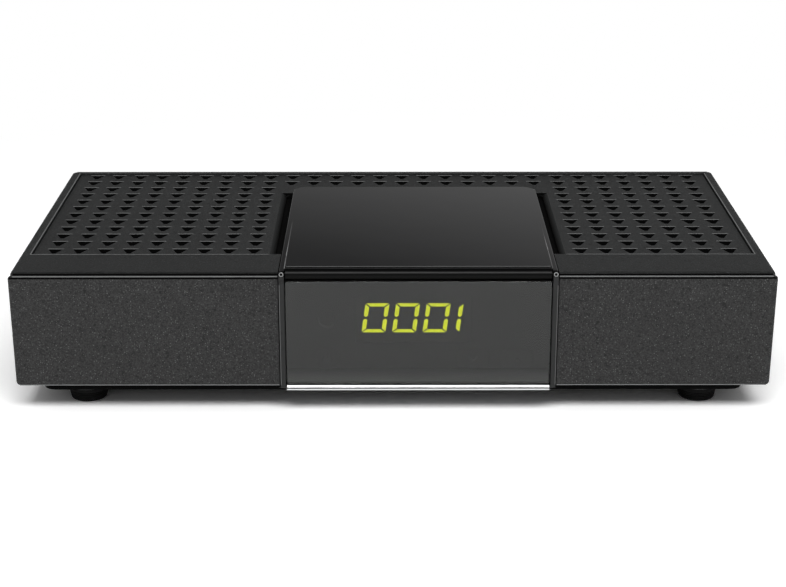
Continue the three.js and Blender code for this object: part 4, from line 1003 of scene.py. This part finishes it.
class RECEIVER_OT_flap(bpy.types.Operator):
    """Finishes the hinge bar, the smoked window and the bright strip"""

    bl_idname = "receiver.flap"
    bl_label = "Flap"

    def execute(self, context):
        s = context.scene.receiver_housing
        rounded("hinge_bar", lacquered_abs, s.edge_break)
        window = rounded("display_window", cast_smoked_acrylic, width=0.05 * MM)
        # Painted shade: the window's top faces, under the hinge bar.
        repaint(window, painted_shade_abs, lambda way, spot: way.z > 0.5)
        strip = rounded("chrome_strip", electroplated_abs, width=0.12 * MM)
        # Painted shade: the strip's top face, as a dark line above the chrome.
        repaint(strip, painted_shade_abs, lambda way, spot: way.z > 0.9)
        repaint(strip, satin_chrome, lambda way, spot: 0.3 < way.z < 0.9)
        low, high, centre = box_of("display_window")
        border = bmesh.new()
        middle = low.z + BORDER / 2 + BORDER_RISE
        outline = bar(centre.x, middle, centre.x - low.x - BORDER_INSET, BORDER / 2)
        lay = at(0, high.y, 0, "+Y") @ Matrix.Scale(-1, 4, (0, 1, 0))
        slab(border, outline, low=-0.01, high=0.08, lay=lay)
        piece("window_border", border, ink_and_painted_reflection, "flap")
        return {"FINISHED"}


SEGMENTS = {
    "0": "abcdef", "1": "bc", "2": "abdeg", "3": "abcdg", "4": "bcfg", "5": "acdfg",
    "6": "acdefg", "7": "abc", "8": "abcdefg", "9": "abcdfg",
}
LEFT_MARGIN = 1.47
ONE_SHIFT = 0.65
DIGIT_RISE = 0.4


class RECEIVER_OT_display(bpy.types.Operator):
    """Draws the segments of the digits on the display module"""

    bl_idname = "receiver.display"
    bl_label = "Display"

    def execute(self, context):
        s = context.scene.receiver_display
        dress("display_module", cast_display_epoxy)
        low, _, centre = box_of("display_module")
        height, width = s.digit_height / MM, s.digit_width / MM
        lay = at(0, low.y, centre.z + DIGIT_RISE - height / 2, "-Y")
        lit, unlit = bmesh.new(), bmesh.new()
        for place, digit in enumerate(s.digits):
            x = low.x + LEFT_MARGIN + place * s.digit_pitch / MM
            narrow = place == len(s.digits) - 1 and digit == "1"
            if narrow:
                x -= width - s.stroke / MM - ONE_SHIFT
            for name, corners in self.segments(s).items():
                if narrow and name not in SEGMENTS["1"]:
                    continue
                outline = [(x + u + v * tan(s.slant), v) for u, v in corners]
                shape = lit if name in SEGMENTS[digit] else unlit
                slab(shape, outline, low=-0.02, high=0.1, lay=lay)
        piece("lit_segments", lit, lit_light_pipe, "housing", smooth=20)
        piece("unlit_segments", unlit, unlit_light_pipe, "housing", smooth=20)
        return {"FINISHED"}

    def segments(self, s):
        """Corners in mm of the seven bars of an upright digit, from its lower left corner."""
        sizes = (s.digit_width, s.digit_height, s.stroke, s.flat, s.gap)
        wide, tall, stroke, flat, gap = (size / MM for size in sizes)
        middle = tall / 2
        joint, tip = middle + stroke / 2 + gap / 2, middle + gap
        foot, head = middle - flat / 2, middle + flat / 2
        inner, outer, under = wide - stroke - gap, stroke + gap, tall - flat
        left = [
            (0, tall - gap), (stroke, under - gap), (stroke, joint), (stroke / 2, tip), (0, joint),
        ]
        right = [(wide - x, y) for x, y in left]
        top = [(gap, tall), (wide - gap, tall), (inner, under), (outer, under)]
        return {
            "a": top,
            "b": right,
            "c": [(x, tall - y) for x, y in right],
            "d": [(x, tall - y) for x, y in top],
            "e": [(x, tall - y) for x, y in left],
            "f": left,
            "g": [
                (stroke / 2 + gap, middle), (outer, head), (inner, head),
                (wide - stroke / 2 - gap, middle), (inner, foot), (outer, foot),
            ],
        }


DOWN_SIGN = [(-1.4, 0.75), (-1.05, 0.95), (0, -0.15), (1.05, 0.95), (1.4, 0.75), (0, -0.75)]
UP_SIGN = [(-1.4, -0.75), (0, 0.75), (1.4, -0.75), (1.05, -0.95), (0, 0.15), (-1.05, -0.95)]
SIGNS = {
    "standby": [arc(1.5, 125, 415, 20) + arc(1.2, 415, 125, 20), bar(0, 1.2, 0.15, 0.7)],
    "channel_down": [DOWN_SIGN],
    "channel_up": [UP_SIGN],
}


class RECEIVER_OT_controls(bpy.types.Operator):
    """Finishes the panel behind the flap, its buttons and their printed signs"""

    bl_idname = "receiver.controls"
    bl_label = "Controls"

    def execute(self, context):
        rounded("bay_panel", satin_abs, width=0.15 * MM)
        for name, outlines in SIGNS.items():
            rounded(f"{name}_button", polished_abs, width=0.12 * MM)
            dress(f"{name}_switch", tinned_steel)
            low, _, centre = box_of(f"{name}_button")
            lay = at(centre.x, low.y, centre.z, "-Y")
            sign = bmesh.new()
            for outline in outlines:
                slab(sign, outline, low=-0.02, high=0.04, lay=lay)
            piece(f"{name}_sign", sign, pad_printed_ink, name)
        dress("remote_sensor", tinted_resin)
        return {"FINISHED"}


HEAD_TOP = 1.5


class RECEIVER_OT_base(bpy.types.Operator):
    """Turns the rubber feet and the case screws"""

    bl_idname = "receiver.base"
    bl_label = "Feet and screws"

    def execute(self, context):
        for corner in ("front_left", "front_right", "rear_left", "rear_right"):
            self.foot(f"foot_{corner}")
            self.screw(f"case_screw_{corner}")
        return {"FINISHED"}

    def foot(self, node):
        """Foot with fine rings round its side and a dished sole."""
        low, high, centre = box_of(node)
        r = (high.x - low.x) / 2
        rings = []
        for i in range(4):
            z, reach = 1.0 + 0.55 * i, r - 0.55 + 0.1 * i
            rings += [
                (reach, z), (reach - 0.14, z + 0.12), (reach - 0.14, z + 0.26),
                (reach + 0.05, z + 0.38),
            ]
        turns = [radians(a) for a in (30, 60, 90)]
        profile = [
            (0, 0.7), (1.8, 0.7), (2, 0.6), (2, 0.15), (2.15, 0), (r - 1.6, 0),
            *[(r - 1.25 + 0.6 * sin(t), 0.6 - 0.6 * cos(t)) for t in turns],
            *rings, (r - 0.15, 3.3), (r, 3.6), (r, 3.9), (2.6, 3.9), (2.6, high.z), (0, high.z),
        ]
        turned = lathe(profile, steps=64, turn=at(centre.x, centre.y, 0))
        stand_in(f"{node}_turned", turned, moulded_rubber, node)

    def screw(self, node):
        """Pan-head screw with a plain recess in its head."""
        low, high, centre = box_of(node)
        r = (high.x - low.x) / 2
        profile = [
            (0, 0.75), (1, 0.75), (1.15, 0), (r - 0.45, 0.12), (r - 0.12, 0.4), (r, 0.75),
            (r, HEAD_TOP), (1.2, HEAD_TOP), (1.2, HEAD_TOP + 2.1), (0.7, HEAD_TOP + 2.4),
            (0.7, HEAD_TOP + 11), (0, HEAD_TOP + 11),
        ]
        turned = lathe(profile, steps=40, turn=at(centre.x, centre.y, low.z))
        stand_in(f"{node}_turned", turned, blackened_steel, node)


SHELLS = {
    "scart_socket": satin_abs,
    "hdmi_socket": tinned_steel,
    "usb_socket": tinned_steel,
    "digital_audio_socket": nickelled_brass,
    "power_socket": satin_abs,
}
SCART_PITCH = 3.81
INSULATOR = [
    (1.75, -0.3), (3.1, -0.3), (3.1, 0.05), (3, 0.12), (1.85, 0.12), (1.75, 0.05), (1.75, -0.3),
]
SLEEVE = [(0, -9.2), (1.06, -9.2), (1.06, -1.5), (0.8, -1.14), (0, -1.05)]


class RECEIVER_OT_sockets(bpy.types.Operator):
    """Finishes the rear sockets and adds their contacts"""

    bl_idname = "receiver.sockets"
    bl_label = "Sockets"

    def execute(self, context):
        self.coaxial("aerial_in_socket", outer=6.1, bore=4.8, core=2, core_bore=1.2)
        self.coaxial("aerial_out_socket", outer=4.75, bore=4.1, core=1.2, core_bore=0)
        for node, make in SHELLS.items():
            rounded(node, make, width=0.12 * MM)
        springs = [
            bar((i - 4.5) * SCART_PITCH + side * 0.3, side * 2.05, half_x=0.14, half_y=1.2)
            for i in range(10)
            for side in (-1, 1)
        ]
        self.contacts("scart_socket", springs, low=1.2, high=8.6)
        self.tongue("hdmi_socket", count=10, pitch=1, half=0.3, faces=(-0.75, 0.75))
        self.tongue("usb_socket", count=4, pitch=2.2, half=0.5, faces=(1.5,))
        ring = self.lining("digital_audio_socket", INSULATOR, steps=40)
        piece("digital_audio_insulator", ring, glass_filled_nylon, "housing")
        sleeve = self.lining("power_socket", SLEEVE, steps=32)
        piece("power_pin_sleeve", sleeve, nickelled_brass, "housing")
        return {"FINISHED"}

    def coaxial(self, node, outer, bore, core, core_bore):
        """Aerial socket with three ribs round its barrel."""
        low, high, centre = box_of(node)
        length = high.y - low.y
        flange = (high.x - low.x) / 2
        if core_bore:
            tip = [(core_bore, length - 1), (core_bore, 4), (0, 4)]
        else:
            tip = [(core - 0.3, length - 1.1), (0, length - 1)]
        floor = 2 if core_bore else 4
        ribs = []
        for i in range(3):
            y = 6.5 + i * 1.2
            ribs += [(outer, y), (outer - 0.2, y + 0.2), (outer - 0.2, y + 0.5), (outer, y + 0.7)]
        profile = [
            (0, 0), (flange - 0.2, 0), (flange, 0.2), (flange, 1.8), (flange - 0.2, 2), (outer, 2),
            *ribs, (outer, length - 0.4), (outer - 0.15, length - 0.12), (outer - 0.4, length),
            (bore + 0.1, length), (bore, length - 0.15), (bore, floor), (core, floor),
            (core, length - 1.3), *tip,
        ]
        turned = lathe(profile, steps=56, turn=at(centre.x, low.y, centre.z, "+Y"))
        stand_in(f"{node}_turned", turned, nickelled_brass, node)

    def contacts(self, node, outlines, low, high):
        """Gilt strips drawn in X and Z about a socket's mouth, from one depth to another."""
        _, mouth, centre = box_of(node)
        shape = bmesh.new()
        for outline in outlines:
            slab(shape, outline, low, high, at(centre.x, mouth.y, centre.z, "-Y"))
        piece(f"{node}_contacts", shape, gilt_bronze, "housing")

    def tongue(self, node, count, pitch, half, faces):
        """Strips along the faces of a socket's tongue."""
        strips = [
            bar((i - (count - 1) / 2) * pitch, face, half_x=half, half_y=0.05)
            for i in range(count)
            for face in faces
        ]
        self.contacts(node, strips, low=1.6, high=8)

    def lining(self, node, profile, steps):
        """Turned shape in a socket's mouth: the insulator of one, the centre pin of another."""
        _, high, centre = box_of(node)
        return lathe(profile, steps, at(centre.x, high.y, centre.z, "+Y"))


INNER = {
    "front_board": solder_masked_laminate,
    "main_board": solder_masked_laminate,
    "front_plug": moulded_nylon,
    "main_plug": moulded_nylon,
    "ribbon_cable": laminated_ribbon,
    "processor": moulded_epoxy,
    "heat_sink": anodised_aluminium,
    "capacitor_1": shrunk_sleeve,
    "capacitor_2": shrunk_sleeve,
    "capacitor_3": shrunk_sleeve,
    "choke": pressed_ferrite,
    "tuner_can": tinned_steel,
}


class RECEIVER_OT_inside(bpy.types.Operator):
    """Finishes the boards and the parts on them"""

    bl_idname = "receiver.inside"
    bl_label = "Boards"

    def execute(self, context):
        for node, make in INNER.items():
            dress(node, make)
        return {"FINISHED"}


OPERATORS = (
    RECEIVER_OT_camera,
    RECEIVER_OT_studio,
    RECEIVER_OT_housing,
    RECEIVER_OT_grille,
    RECEIVER_OT_trim,
    RECEIVER_OT_flap,
    RECEIVER_OT_display,
    RECEIVER_OT_controls,
    RECEIVER_OT_base,
    RECEIVER_OT_sockets,
    RECEIVER_OT_inside,
)
GROUPS = {
    "receiver_housing": HousingSettings,
    "receiver_flap": FlapSettings,
    "receiver_display": DisplaySettings,
    "receiver_studio": StudioSettings,
}


class RECEIVER_PT_panel(bpy.types.Panel):
    """Lists the steps and the sizes and colours that they use"""

    bl_label = "Receiver"
    bl_idname = "RECEIVER_PT_panel"
    bl_space_type = "VIEW_3D"
    bl_region_type = "UI"
    bl_category = "Receiver"

    def draw(self, context):
        for step in OPERATORS:
            self.layout.operator(step.bl_idname)
        for group in GROUPS:
            box = self.layout.box()
            settings = getattr(context.scene, group)
            for name in settings.bl_rna.properties.keys():
                if name not in ("rna_type", "name"):
                    box.prop(settings, name)


def register():
    for group, settings in GROUPS.items():
        bpy.utils.register_class(settings)
        setattr(bpy.types.Scene, group, PointerProperty(type=settings))
    for step in (*OPERATORS, RECEIVER_PT_panel):
        bpy.utils.register_class(step)


def unregister():
    for step in (RECEIVER_PT_panel, *reversed(OPERATORS)):
        bpy.utils.unregister_class(step)
    for group, settings in GROUPS.items():
        delattr(bpy.types.Scene, group)
        bpy.utils.unregister_class(settings)


def main():
    register()
    for step in OPERATORS:
        group, name = step.bl_idname.split(".")
        getattr(getattr(bpy.ops, group), name)()
    bpy.context.view_layer.update()


if __name__ == "__main__":
    main()
